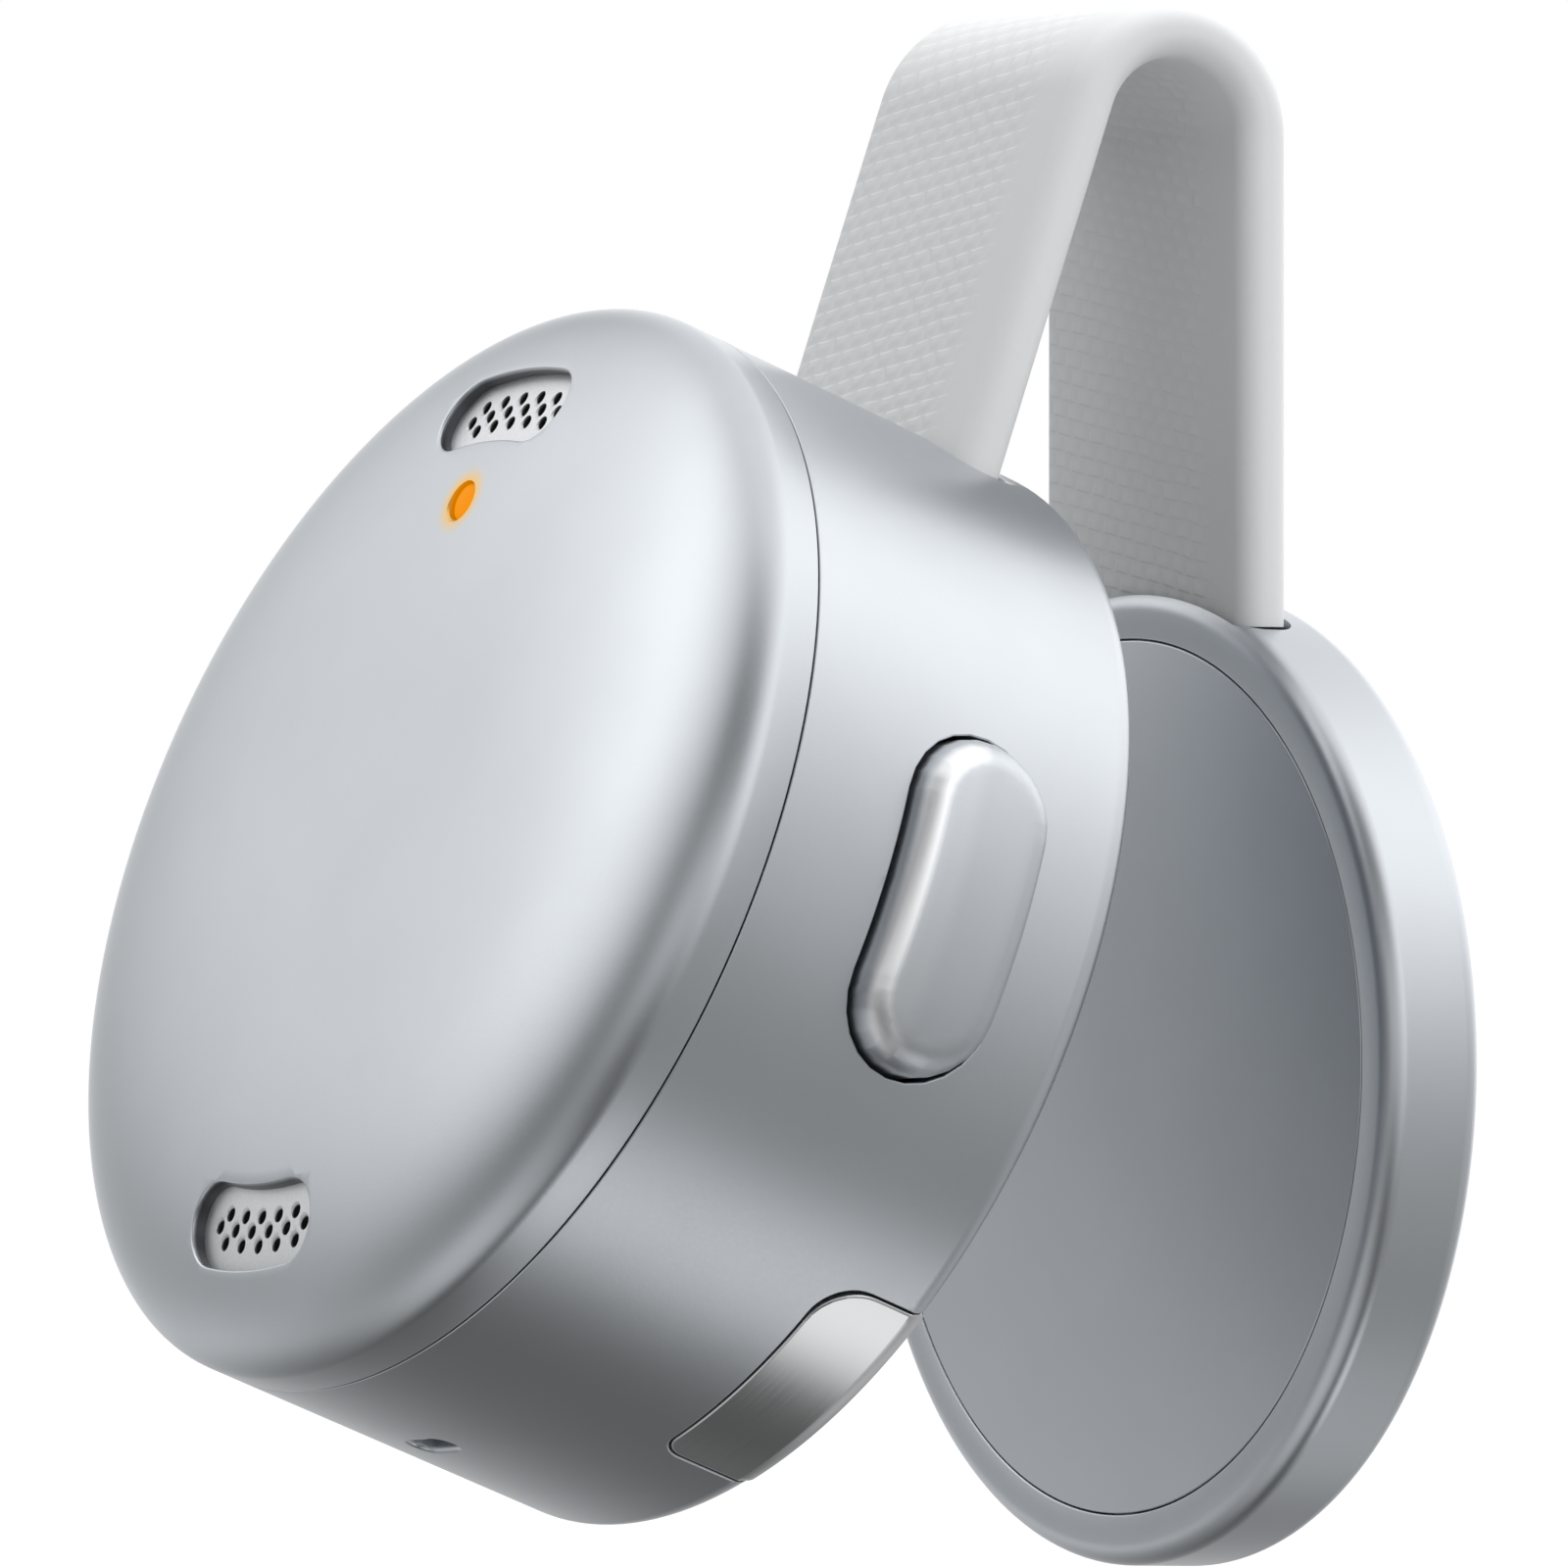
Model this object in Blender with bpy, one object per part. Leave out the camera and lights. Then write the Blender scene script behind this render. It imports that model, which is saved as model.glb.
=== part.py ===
"""Clip-on voice recorder: a round aluminium puck, a bent elastomer strap and a thin clip disc.

Metres, +Z up. The origin lies on the strap's bending axis, under the crown of the bend. +X points to the
side that carries the key, and the puck hangs on the -Y side of the disc.
"""
from math import acos, asin, atan2, cos, hypot, pi, radians, sin, sqrt, tan

import bmesh
import bpy
from mathutils import Matrix

MM = 0.001

# Puck
BODY_RADIUS = 15.95 * MM
BODY_DEPTH = 15.0 * MM
FACE_DROP = 2.79 * MM          # how far the crowned face falls from its centre to the side
FACE_POWER = 3.716             # exponent of the face's superellipse: higher is flatter
REAR_FILLET = 0.8 * MM
FRONT_DEPTH = 3.8 * MM         # seam to the face's centre
WALL = 1.1 * MM
FLOOR = 1.0 * MM
LAYOUT_TURN = radians(3.2)     # the puck's features are turned this much about its axis, against the strap

# Clip disc
DISC_RADIUS = 13.93 * MM
DISC_DEPTH = 3.2 * MM
DISC_FILLET = 0.63 * MM
DISC_RIM = 1.36 * MM           # width of the rim round the inset plate
INLAY_DEPTH = 0.5 * MM
DISC_BACK = 0.8 * MM

# Strap
STRAP_WIDTH = 10.9 * MM
STRAP_THICKNESS = 1.58 * MM
STRAP_ROUNDING = 0.6 * MM
CROWN_RADIUS = 2.95 * MM       # of the strap's middle surface
BODY_TILT = radians(19.8)      # puck's rear plane against the disc
LEG_SLOPE = radians(1.8)       # each leg leans this much from the plate that holds it
PUCK_DROP = 10.33 * MM         # bending axis to the puck's rim
DISC_DROP = 12.68 * MM         # bending axis to the disc's rim
DISC_OFFSET = 2.22 * MM        # bending axis to the disc's inner face
PUCK_INSERT = 4.7 * MM         # length of strap inside the puck
DISC_INSERT = 1.2 * MM         # length of full-thickness strap inside the disc
TANG_LENGTH = 4.2 * MM
TANG_THICKNESS = 0.65 * MM

# Grilles and light
GRILLE_FROM_SIDE = 3.68 * MM   # the grilles' middle line to the puck's side
GRILLE_HALF_WIDTH = 1.17 * MM
GRILLE_HALF_ANGLE = radians(14.58)
GRILLE_RECESS = 0.43 * MM
GRILLE_THICKNESS = 0.3 * MM
GRILLE_FLANGE = 0.6 * MM       # how far the plate reaches under the shell
GRILLE_ROWS = (5, 6, 5)
GRILLE_ROW_SPACING = 0.403 * MM
GRILLE_PITCH = 0.908 * MM
GRILLE_HOLE_RADIUS = 0.2 * MM
MESH_THICKNESS = 0.12 * MM
LIGHT_RADIUS = 0.7 * MM
LIGHT_FROM_GRILLE = 3.04 * MM
LIGHT_RECESS = 0.12 * MM
LIGHT_FLANGE_RADIUS = 1.1 * MM
LIGHT_FLANGE_DEPTH = 0.4 * MM

# Key
KEY_LENGTH = 9.6 * MM
KEY_WIDTH = 4.3 * MM
KEY_LEVEL = 5.2 * MM
KEY_PROUD = 0.9 * MM
KEY_EDGE = 0.45 * MM
KEY_TRAVEL = 0.4 * MM
KEY_FLANGE = 0.45 * MM
KEY_FLANGE_DEPTH = 0.5 * MM

# Socket door
DOOR_ANGLE = radians(143.25)   # its middle, clockwise from the upper grille
DOOR_LENGTH = 8.04 * MM
DOOR_HEIGHT = 3.3 * MM
DOOR_THICKNESS = 0.9 * MM
DOOR_HINGE_CORNER = 1.5 * MM
DOOR_FREE_CORNER = 0.7 * MM
DOOR_BARREL = 0.5 * MM
DOOR_REAR = 0.1 * MM
PIN_RADIUS = 0.25 * MM
PIN_LENGTH = 4.2 * MM
PIN_BOTTOM = 0.5 * MM
DOOR_CHAMFER = 0.35 * MM
SOCKET_WIDTH = 7.0 * MM
SOCKET_LENGTH = 3.7 * MM
SOCKET_HEIGHT = 1.9 * MM
SOCKET_WALL = 0.45 * MM

# Vent
VENT_ANGLE = radians(179.0)
VENT_LEVEL = 6.9 * MM
VENT_LENGTH = 1.9 * MM
VENT_WIDTH = 0.8 * MM
VENT_MARGIN = 0.65 * MM        # how far the membrane reaches past the slot

# Inside the puck
BOARD_DEPTH = 0.8 * MM
BOARD_BELOW_SEAM = 0.1 * MM
SPIGOT_DEPTH = 1.5 * MM
SPIGOT_WALL = 0.8 * MM
SEAL_RADIUS = 0.22 * MM
SCREW_TO_EDGE = 1.35 * MM      # board's screws to its edge
SCREW_ANGLES = (radians(50.0), radians(225.0), radians(315.0))
SCREW_RADIUS = 0.6 * MM
SCREW_HEAD_RADIUS = 1.1 * MM
SCREW_HEAD_DEPTH = 0.7 * MM
SCREW_LENGTH = 2.6 * MM
BOSS_RADIUS = 1.5 * MM
MAGNET_RADIUS = 6.0 * MM
MAGNET_DEPTH = 1.8 * MM
PAD_DEPTH = 0.5 * MM
SHIELD_SIDE = 10.0 * MM
SHIELD_HEIGHT = 0.9 * MM
MIC_WIDTH = 3.5 * MM
MIC_LENGTH = 2.6 * MM
MIC_HEIGHT = 1.0 * MM
BOOT_RADIUS = 1.4 * MM
BOOT_BORE = 0.6 * MM
BOOT_DEPTH = 0.55 * MM
LAMP_WIDTH = 1.6 * MM
LAMP_LENGTH = 0.9 * MM
LAMP_HEIGHT = 0.6 * MM
CLAMP_WIDTH = 1.3 * MM
CLAMP_HEIGHT = 0.8 * MM
CLAMP_SCREW_MARGIN = 0.75 * MM # strap's edge to the clamp's screws
CLAMP_END = 0.6 * MM           # clamp's screws to its ends
CLAMP_SCREW_RADIUS = 0.35 * MM
CLAMP_SCREW_HEAD = 0.4 * MM
MIC_FROM_GRILLE = 0.27 * MM    # microphone towards the axis from the grille's middle line
TAB_THICKNESS = 0.2 * MM
TAB_WIDTH = 3.0 * MM
KEY_PAD_DEPTH = 0.3 * MM
SWITCH_WIDTH = 2.8 * MM
SWITCH_LENGTH = 4.0 * MM
SWITCH_HEIGHT = 1.2 * MM
KEY_BOARD_WIDTH = 4.6 * MM
KEY_BOARD_LENGTH = 8.0 * MM
KEY_BOARD_DEPTH = 0.4 * MM

# Inside the disc
DISC_MAGNET_RADIUS = 7.0 * MM
DISC_MAGNET_DEPTH = 1.4 * MM
TANG_SCREW_PLACE = 3.2 * MM
TANG_SCREW_END = 1.3 * MM      # screw to the tang's end
TANG_SCREW_TOP = -0.73 * MM    # below the disc's inner face
TANG_SCREW_HEAD = 0.35 * MM
LEDGE = 0.6 * MM

# Clearances
FIT = 0.15 * MM                # between parts that rest on or sit in each other
SEAM_GAP = 0.12 * MM           # visible seams
KEY_GAP = 0.12 * MM
PIN_GAP = 0.06 * MM
JOINT_GAP = 0.15 * MM          # between the strap's three lengths

# Facets
ROUND = 64
SMALL_ROUND = 16
HOLE_ROUND = 8
ARC = 4                        # steps of a quarter-circle edge

# Levels and radii that follow
SEAM_LEVEL = BODY_DEPTH - FRONT_DEPTH
SHOULDER_LEVEL = BODY_DEPTH - FACE_DROP
BODY_INNER = BODY_RADIUS - WALL
PUCK_DISTANCE = BODY_RADIUS + PUCK_DROP
DISC_DISTANCE = DISC_RADIUS + DISC_DROP
INLAY_RADIUS = DISC_RADIUS - DISC_RIM - SEAM_GAP
GRILLE_RADIUS = BODY_RADIUS - GRILLE_FROM_SIDE
GRILLE_OUTLINE = GRILLE_HALF_WIDTH + GRILLE_FLANGE
LIGHT_PLACE = GRILLE_RADIUS - LIGHT_FROM_GRILLE
MIC_PLACE = GRILLE_RADIUS - MIC_FROM_GRILLE
SPIGOT_OUTER = BODY_INNER - FIT
SPIGOT_INNER = SPIGOT_OUTER - SPIGOT_WALL
SEAL_LEVEL = SEAM_LEVEL - SPIGOT_DEPTH / 2
BOARD_TOP = SEAM_LEVEL - BOARD_BELOW_SEAM
BOARD_BOTTOM = BOARD_TOP - BOARD_DEPTH
BOARD_RADIUS = SPIGOT_INNER - 2 * FIT
SCREW_CIRCLE = BOARD_RADIUS - SCREW_TO_EDGE
SCREW_BOTTOM = BOARD_TOP + FIT - SCREW_LENGTH
MAGNET_BOTTOM = FLOOR + FIT
PAD_BOTTOM = MAGNET_BOTTOM + MAGNET_DEPTH + FIT
BATTERY_BOTTOM = PAD_BOTTOM + PAD_DEPTH + FIT
SHIELD_BOTTOM = BOARD_BOTTOM - FIT - SHIELD_HEIGHT
BATTERY_TOP = SHIELD_BOTTOM - FIT
KEY_FLANGE_TOP = sqrt(BODY_INNER ** 2 - (KEY_LENGTH / 2 + KEY_FLANGE) ** 2) - FIT
KEY_FLANGE_BOTTOM = KEY_FLANGE_TOP - KEY_FLANGE_DEPTH
KEY_PAD_BOTTOM = KEY_FLANGE_BOTTOM - FIT - KEY_PAD_DEPTH
SWITCH_TOP = KEY_PAD_BOTTOM - KEY_TRAVEL - FIT
KEY_BOARD_TOP = SWITCH_TOP - SWITCH_HEIGHT - FIT
BATTERY_RADIUS = KEY_BOARD_TOP - KEY_BOARD_DEPTH - 2 * FIT
DOOR_INNER = BODY_RADIUS - DOOR_THICKNESS
DOOR_REACH = DOOR_LENGTH / 2 - FIT
PIN_PLACE_X = DOOR_HINGE_CORNER - DOOR_LENGTH / 2
PIN_PLACE_Y = sqrt((BODY_RADIUS - DOOR_BARREL) ** 2 - PIN_PLACE_X ** 2)
TAIL_SWING = hypot(PIN_PLACE_X + DOOR_REACH, PIN_PLACE_Y - sqrt(DOOR_INNER ** 2 - DOOR_REACH ** 2))
NOTCH_BOTTOM = PIN_PLACE_Y - TAIL_SWING - FIT
SOCKET_FRONT = NOTCH_BOTTOM - 2 * FIT
CLAMP_SCREW_PLACE = STRAP_WIDTH / 2 + CLAMP_SCREW_MARGIN
CLAMP_LENGTH = 2 * (CLAMP_SCREW_PLACE + CLAMP_END)
CLAMP_CHORD = sqrt((BODY_INNER - FIT) ** 2 - (CLAMP_LENGTH / 2) ** 2) - CLAMP_WIDTH / 2
STRAP_LEG_PUCK = (PUCK_DROP + PUCK_INSERT) / cos(LEG_SLOPE)
STRAP_LEG_DISC = (DISC_DROP + DISC_INSERT) / cos(LEG_SLOPE)
FAR = BODY_DEPTH / 5           # overshoot of a cutter


def clear_scene():
    for item in list(bpy.data.objects):
        bpy.data.objects.remove(item, do_unlink=True)


def make_material(name, color, roughness, metallic):
    material = bpy.data.materials.new(name)
    material.use_nodes = True
    shader = material.node_tree.nodes["Principled BSDF"]
    shader.inputs["Base Color"].default_value = (*color, 1.0)
    shader.inputs["Roughness"].default_value = roughness
    shader.inputs["Metallic"].default_value = metallic
    return material


def add_frame(name, location, rotation, parent=None):
    """An empty that carries the pieces of one assembly or of one joint."""
    frame = bpy.data.objects.new(name, None)
    bpy.context.collection.objects.link(frame)
    frame.location = location
    frame.rotation_euler = rotation
    frame.parent = parent
    return frame


def face_outward(bm):
    bmesh.ops.recalc_face_normals(bm, faces=bm.faces)
    if bm.calc_volume(signed=True) < 0:
        bmesh.ops.reverse_faces(bm, faces=bm.faces)


def add_object(name, bm, parent, look, sharp=30.0):
    """Turn a bmesh into a named piece with a material of its own."""
    bmesh.ops.remove_doubles(bm, verts=bm.verts, dist=1e-7)
    face_outward(bm)
    mesh = bpy.data.meshes.new(name)
    bm.to_mesh(mesh)
    bm.free()
    mesh.shade_smooth()
    mesh.set_sharp_from_angle(angle=radians(sharp))
    piece = bpy.data.objects.new(name, mesh)
    bpy.context.collection.objects.link(piece)
    piece.parent = parent
    if look is not None:
        mesh.materials.append(make_material(name, *look))
    return piece


def add_tool(name, bm, parent):
    """A shape that only cuts, trims or joins another piece."""
    tool = add_object(name, bm, parent, None)
    tool.display_type = "WIRE"
    tool.hide_render = True
    return tool


def combine(piece, tool, operation):
    modifier = piece.modifiers.new(tool.name, "BOOLEAN")
    modifier.operation = operation
    modifier.solver = "EXACT"
    modifier.object = tool
    return piece


def add_turned(bm, profile, steps=ROUND, x=0.0, y=0.0):
    """Turn a profile of (radius, height) points about a vertical axis through x, y."""
    verts = [bm.verts.new((x + r, y, z)) for r, z in profile]
    edges = [bm.edges.new(pair) for pair in zip(verts, verts[1:])]
    if profile[0][0] > 0:
        edges.append(bm.edges.new((verts[-1], verts[0])))
    bmesh.ops.spin(bm, geom=verts + edges, cent=(x, y, 0), axis=(0, 0, 1), angle=2 * pi, steps=steps,
                   use_merge=True)
    return bm


def turned(profile, steps=ROUND):
    return add_turned(bmesh.new(), profile, steps)


def rod(radius, bottom, top, steps=SMALL_ROUND, y=0.0):
    return add_turned(bmesh.new(), [(0, bottom), (radius, bottom), (radius, top), (0, top)], steps, 0.0, y)


def prism(outline, bottom, top):
    """Extrude a closed outline of (x, y) points along local Z."""
    bm = bmesh.new()
    face = bm.faces.new([bm.verts.new((x, y, bottom)) for x, y in outline])
    grown = bmesh.ops.extrude_face_region(bm, geom=[face])
    raised = [v for v in grown["geom"] if isinstance(v, bmesh.types.BMVert)]
    bmesh.ops.translate(bm, verts=raised, vec=(0, 0, top - bottom))
    return bm


def block(size, centre):
    bm = bmesh.new()
    bmesh.ops.create_cube(bm, size=1.0, matrix=Matrix.Translation(centre) @ Matrix.Diagonal((*size, 1.0)))
    return bm


def arc_points(centre, radius, start, end, steps):
    span = [start + (end - start) * k / steps for k in range(steps + 1)]
    return [(centre[0] + radius * cos(a), centre[1] + radius * sin(a)) for a in span]


def pill(length, width, steps=2 * ARC):
    """A slot outline with round ends, long along local Y."""
    reach = (length - width) / 2
    upper = arc_points((0, reach), width / 2, 0, pi, steps)
    lower = arc_points((0, -reach), width / 2, pi, 2 * pi, steps)
    return upper + lower


def rounded_rectangle(left, right, bottom, top, radii, steps=ARC):
    """Corner radii run counter-clockwise from the right bottom corner; 0 keeps a corner square."""
    corners = ((right, bottom, -pi / 2), (right, top, 0), (left, top, pi / 2), (left, bottom, pi))
    outline = []
    for (x, y, start), radius in zip(corners, radii):
        if radius == 0:
            outline.append((x, y))
            continue
        inward_x = -radius if x == right else radius
        inward_y = -radius if y == top else radius
        outline += arc_points((x + inward_x, y + inward_y), radius, start, start + pi / 2, steps)
    return outline


def face_height(radius, inset=0.0):
    """Height of the crowned face over the rear plane, or of its inner side for an inset of one wall."""
    reach = min(radius / (BODY_RADIUS - inset), 1.0)
    return SHOULDER_LEVEL - inset + FACE_DROP * sqrt(1 - reach ** FACE_POWER)


def face_points(inset, steps):
    """The crowned face from its centre out to the side, as a profile."""
    radius = BODY_RADIUS - inset
    level = SHOULDER_LEVEL - inset
    turns = [pi / 2 * k / steps for k in range(steps + 1)]
    return [(radius * sin(t) ** (2 / FACE_POWER), level + FACE_DROP * cos(t)) for t in turns]


def round_ended(place, columns=8, rows=6):
    """A slab with full-round ends: place(along, across, cap, raised) puts each point of its two grids.

    along and across run from -1 to 1, and cap is the half circle's reach at that place across.
    """
    bm = bmesh.new()
    bmesh.ops.create_grid(bm, x_segments=columns, y_segments=rows, size=1.0)
    grown = bmesh.ops.extrude_face_region(bm, geom=bm.faces[:])
    raised = {v for v in grown["geom"] if isinstance(v, bmesh.types.BMVert)}
    for vert in bm.verts:
        across = sin(vert.co.y * pi / 2)
        cap = sqrt(max(0.0, 1 - across ** 2))
        vert.co = place(vert.co.x, across, cap, vert in raised)
    face_outward(bm)
    return bm


def kidney(half_width, bottom, top):
    """A curved slot round the puck's axis, centred on local +Y; its levels are functions of the radius."""
    straight = GRILLE_HALF_ANGLE - GRILLE_HALF_WIDTH / GRILLE_RADIUS

    def place(along, across, cap, raised):
        angle = along * (straight + cap * half_width / GRILLE_RADIUS)
        radius = GRILLE_RADIUS + across * half_width
        return (*on_circle(radius, angle), top(radius) if raised else bottom(radius))

    return round_ended(place)


def under_face(half_width, depth, thickness):
    """A kidney slab that follows the crowned face at a depth below it."""
    return kidney(half_width, lambda r: face_height(r) - depth - thickness, lambda r: face_height(r) - depth)


def grille_holes():
    bm = bmesh.new()
    for row, count in enumerate(GRILLE_ROWS):
        radius = GRILLE_RADIUS + (row - 1) * GRILLE_ROW_SPACING
        for place in range(count):
            angle = (place - (count - 1) / 2) * GRILLE_PITCH / GRILLE_RADIUS
            level = face_height(radius) - GRILLE_RECESS - GRILLE_THICKNESS / 2
            spot = Matrix.Translation((radius * sin(angle), radius * cos(angle), level))
            bmesh.ops.create_cone(bm, cap_ends=True, segments=HOLE_ROUND, radius1=GRILLE_HOLE_RADIUS,
                                  radius2=GRILLE_HOLE_RADIUS, depth=4 * GRILLE_THICKNESS, matrix=spot)
    return bm


def add_screws(name, parent, places, shank, bottom, seat, head_radius, head_depth):
    """Identical screws, one piece each, whose heads sit above the seat level."""
    top = seat + head_depth
    profile = [(0, bottom), (shank, bottom), (shank, seat), (head_radius, seat), (head_radius, top), (0, top)]
    for number, (x, y) in enumerate(places, start=1):
        screw = add_object(f"{name}_{number}", turned(profile, 12), parent, STEEL)
        screw.location = (x, y, 0)


def add_rods(name, parent, places, radius, bottom, top):
    bm = bmesh.new()
    for x, y in places:
        add_turned(bm, [(0, bottom), (radius, bottom), (radius, top), (0, top)], SMALL_ROUND, x, y)
    return add_tool(name, bm, parent)


def on_circle(radius, angle):
    """Clockwise from local +Y, as seen from the front."""
    return radius * sin(angle), radius * cos(angle)


# Looks: colour, roughness, metallic
ALUMINIUM = ((0.60, 0.61, 0.63), 0.38, 1.0)
POLISHED = ((0.70, 0.71, 0.73), 0.08, 1.0)
GRILLE_GREY = ((0.55, 0.56, 0.57), 0.5, 0.6)
ELASTOMER = ((0.62, 0.63, 0.64), 0.7, 0.0)
ORANGE = ((1.0, 0.32, 0.0), 0.3, 0.0)
STEEL = ((0.45, 0.46, 0.47), 0.3, 1.0)
MAGNET = ((0.5, 0.5, 0.5), 0.25, 1.0)
BOARD_GREEN = ((0.02, 0.12, 0.06), 0.5, 0.0)
DARK_RUBBER = ((0.03, 0.03, 0.03), 0.8, 0.0)
BLACK_PLASTIC = ((0.04, 0.04, 0.045), 0.5, 0.0)
FOIL = ((0.35, 0.37, 0.42), 0.45, 0.3)
AMBER = ((0.5, 0.28, 0.08), 0.5, 0.0)


def front_shell(layout, grille_frames):
    """Crowned cap with a spigot, a seal groove, two grille pockets and the light's hole."""
    seam = SEAM_LEVEL + SEAM_GAP / 2
    bottom = SEAM_LEVEL - SPIGOT_DEPTH
    groove_depth = SPIGOT_OUTER - 2 * SEAL_RADIUS - FIT
    groove_top = SEAL_LEVEL + SEAL_RADIUS + FIT
    groove_bottom = SEAL_LEVEL - SEAL_RADIUS - FIT
    rim = [(BODY_RADIUS, seam + SEAM_GAP), (BODY_RADIUS - SEAM_GAP, seam), (SPIGOT_OUTER, seam),
           (SPIGOT_OUTER, groove_top), (groove_depth, groove_top), (groove_depth, groove_bottom),
           (SPIGOT_OUTER, groove_bottom), (SPIGOT_OUTER, bottom), (SPIGOT_INNER, bottom)]
    inner = [point for point in face_points(WALL, 5) if point[0] < SPIGOT_INNER]
    inner.append((SPIGOT_INNER, face_height(SPIGOT_INNER, WALL)))
    shell = add_object("front_shell", turned(face_points(0.0, 10) + rim + inner[::-1]), layout, ALUMINIUM)
    for frame in grille_frames:
        pocket = kidney(GRILLE_HALF_WIDTH, lambda r: SEAM_LEVEL, lambda r: BODY_DEPTH + FAR)
        combine(shell, add_tool("pocket", pocket, frame), "DIFFERENCE")
        rebate = kidney(GRILLE_OUTLINE + FIT, lambda r: SEAM_LEVEL,
                        lambda r: face_height(r) - GRILLE_RECESS + FIT)
        combine(shell, add_tool("rebate", rebate, frame), "DIFFERENCE")
    light = rod(LIGHT_RADIUS, SEAM_LEVEL, BODY_DEPTH + FAR, SMALL_ROUND, LIGHT_PLACE)
    combine(shell, add_tool("light_hole", light, layout), "DIFFERENCE")


def shell_seal(layout):
    ring = arc_points((SPIGOT_OUTER - SEAL_RADIUS, SEAL_LEVEL), SEAL_RADIUS, 0, 2 * pi, 6)[:-1]
    add_object("shell_seal", turned(ring, ROUND // 2), layout, DARK_RUBBER)


def rear_housing(body, layout):
    """Cup with a rounded rear edge, screw bosses, the strap's slot and the vent."""
    seam = SEAM_LEVEL - SEAM_GAP / 2
    fillet = arc_points((BODY_RADIUS - REAR_FILLET, REAR_FILLET), REAR_FILLET, -pi / 2, 0, ARC)
    rim = [(BODY_RADIUS, seam - SEAM_GAP), (BODY_RADIUS - SEAM_GAP, seam), (BODY_INNER, seam),
           (BODY_INNER, FLOOR)]
    housing = add_object("rear_housing", turned([(0, 0)] + fillet + rim + [(0, FLOOR)]), layout, ALUMINIUM)
    places = boss_places()
    bosses = add_rods("bosses", layout, places, BOSS_RADIUS, FLOOR / 2, BOARD_BOTTOM - FIT)
    combine(housing, bosses, "UNION")
    bores = add_rods("boss_bores", layout, places, SCREW_RADIUS + PIN_GAP, SCREW_BOTTOM - FIT, BOARD_TOP)
    combine(housing, bores, "DIFFERENCE")
    wells = add_rods("clamp_bores", body, clamp_places(), CLAMP_SCREW_RADIUS + PIN_GAP, FLOOR / 3,
                     FLOOR + FAR)
    combine(housing, wells, "DIFFERENCE")
    return housing


def boss_places():
    return [on_circle(SCREW_CIRCLE, angle) for angle in SCREW_ANGLES]


def clamp_places():
    return [(-CLAMP_SCREW_PLACE, CLAMP_CHORD), (CLAMP_SCREW_PLACE, CLAMP_CHORD)]


def strap_top(y):
    """Height of the strap's front side over the puck's rear plane, at a distance y from the puck's axis."""
    return (CROWN_RADIUS + STRAP_THICKNESS / 2) / cos(LEG_SLOPE) - (PUCK_DISTANCE - y) * tan(LEG_SLOPE)


def slot_block(side, distance, inner_radius):
    """The strap's way through a rim whose centre lies at a distance from the bending axis.

    It reaches past the rim's inner wall, which lies deepest at the slot's ends.
    """
    half_width = STRAP_WIDTH / 2 + FIT
    end = distance - sqrt(inner_radius ** 2 - half_width ** 2) + FIT
    start = distance - inner_radius - FAR
    size = (2 * half_width, STRAP_THICKNESS + 2 * FIT, end - start)
    return block(size, (0, side * CROWN_RADIUS, -(start + end) / 2))


def strap_clamp(body):
    """Bar across the strap's end, with a screw beyond each edge of the strap."""
    bottom = strap_top(CLAMP_CHORD) + FIT
    top = bottom + CLAMP_HEIGHT
    shape = block((CLAMP_LENGTH, CLAMP_WIDTH, CLAMP_HEIGHT), (0, CLAMP_CHORD, (bottom + top) / 2))
    bar = add_object("strap_clamp", shape, body, STEEL)
    bores = add_rods("bar_bores", body, clamp_places(), CLAMP_SCREW_RADIUS + PIN_GAP, bottom - FAR, top + FAR)
    combine(bar, bores, "DIFFERENCE")
    add_screws("clamp_screw", body, clamp_places(), CLAMP_SCREW_RADIUS, FLOOR / 3 + FIT, top + FIT,
               2 * CLAMP_SCREW_RADIUS, CLAMP_SCREW_HEAD)


def side_frame(name, angle, level, layout):
    """Frame on the puck's side: local Z points out of it and local Y lies along its circumference."""
    return add_frame(name, (0, 0, level), (0, pi / 2, pi / 2 - angle), layout)


def vent(housing, layout):
    """Slot through the wall with a breathable membrane behind it."""
    frame = side_frame("vent_frame", VENT_ANGLE, VENT_LEVEL, layout)
    hole = prism(pill(VENT_LENGTH, VENT_WIDTH, ARC), BODY_INNER / 2, BODY_RADIUS + FAR)
    combine(housing, add_tool("vent_hole", hole, frame), "DIFFERENCE")
    length = VENT_LENGTH + 2 * VENT_MARGIN
    outer = sqrt(BODY_INNER ** 2 - (length / 2) ** 2) - FIT
    membrane = prism(pill(length, VENT_WIDTH + 2 * VENT_MARGIN, ARC), outer - FIT, outer)
    add_object("vent_membrane", membrane, frame, DARK_RUBBER)


def key_slab(proud):
    """Key with a crown concentric with the puck, which curves along the key's length."""
    straight = (KEY_LENGTH - KEY_WIDTH) / 2
    crown = BODY_RADIUS + proud

    def place(along, across, cap, raised):
        y = along * (straight + cap * KEY_WIDTH / 2)
        top = sqrt(crown ** 2 - y ** 2)
        return (across * KEY_WIDTH / 2, y, top if raised else KEY_FLANGE_TOP - KEY_FLANGE_DEPTH / 2)

    bm = round_ended(place, 10, 8)
    limit = crown - 2 * KEY_PROUD
    rim = [e for e in bm.edges
           if e.calc_face_angle(0) > radians(60) and min(v.co.z for v in e.verts) > limit]
    bmesh.ops.bevel(bm, geom=rim, offset=KEY_EDGE, segments=2, profile=0.5, affect="EDGES")
    return bm


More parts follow.
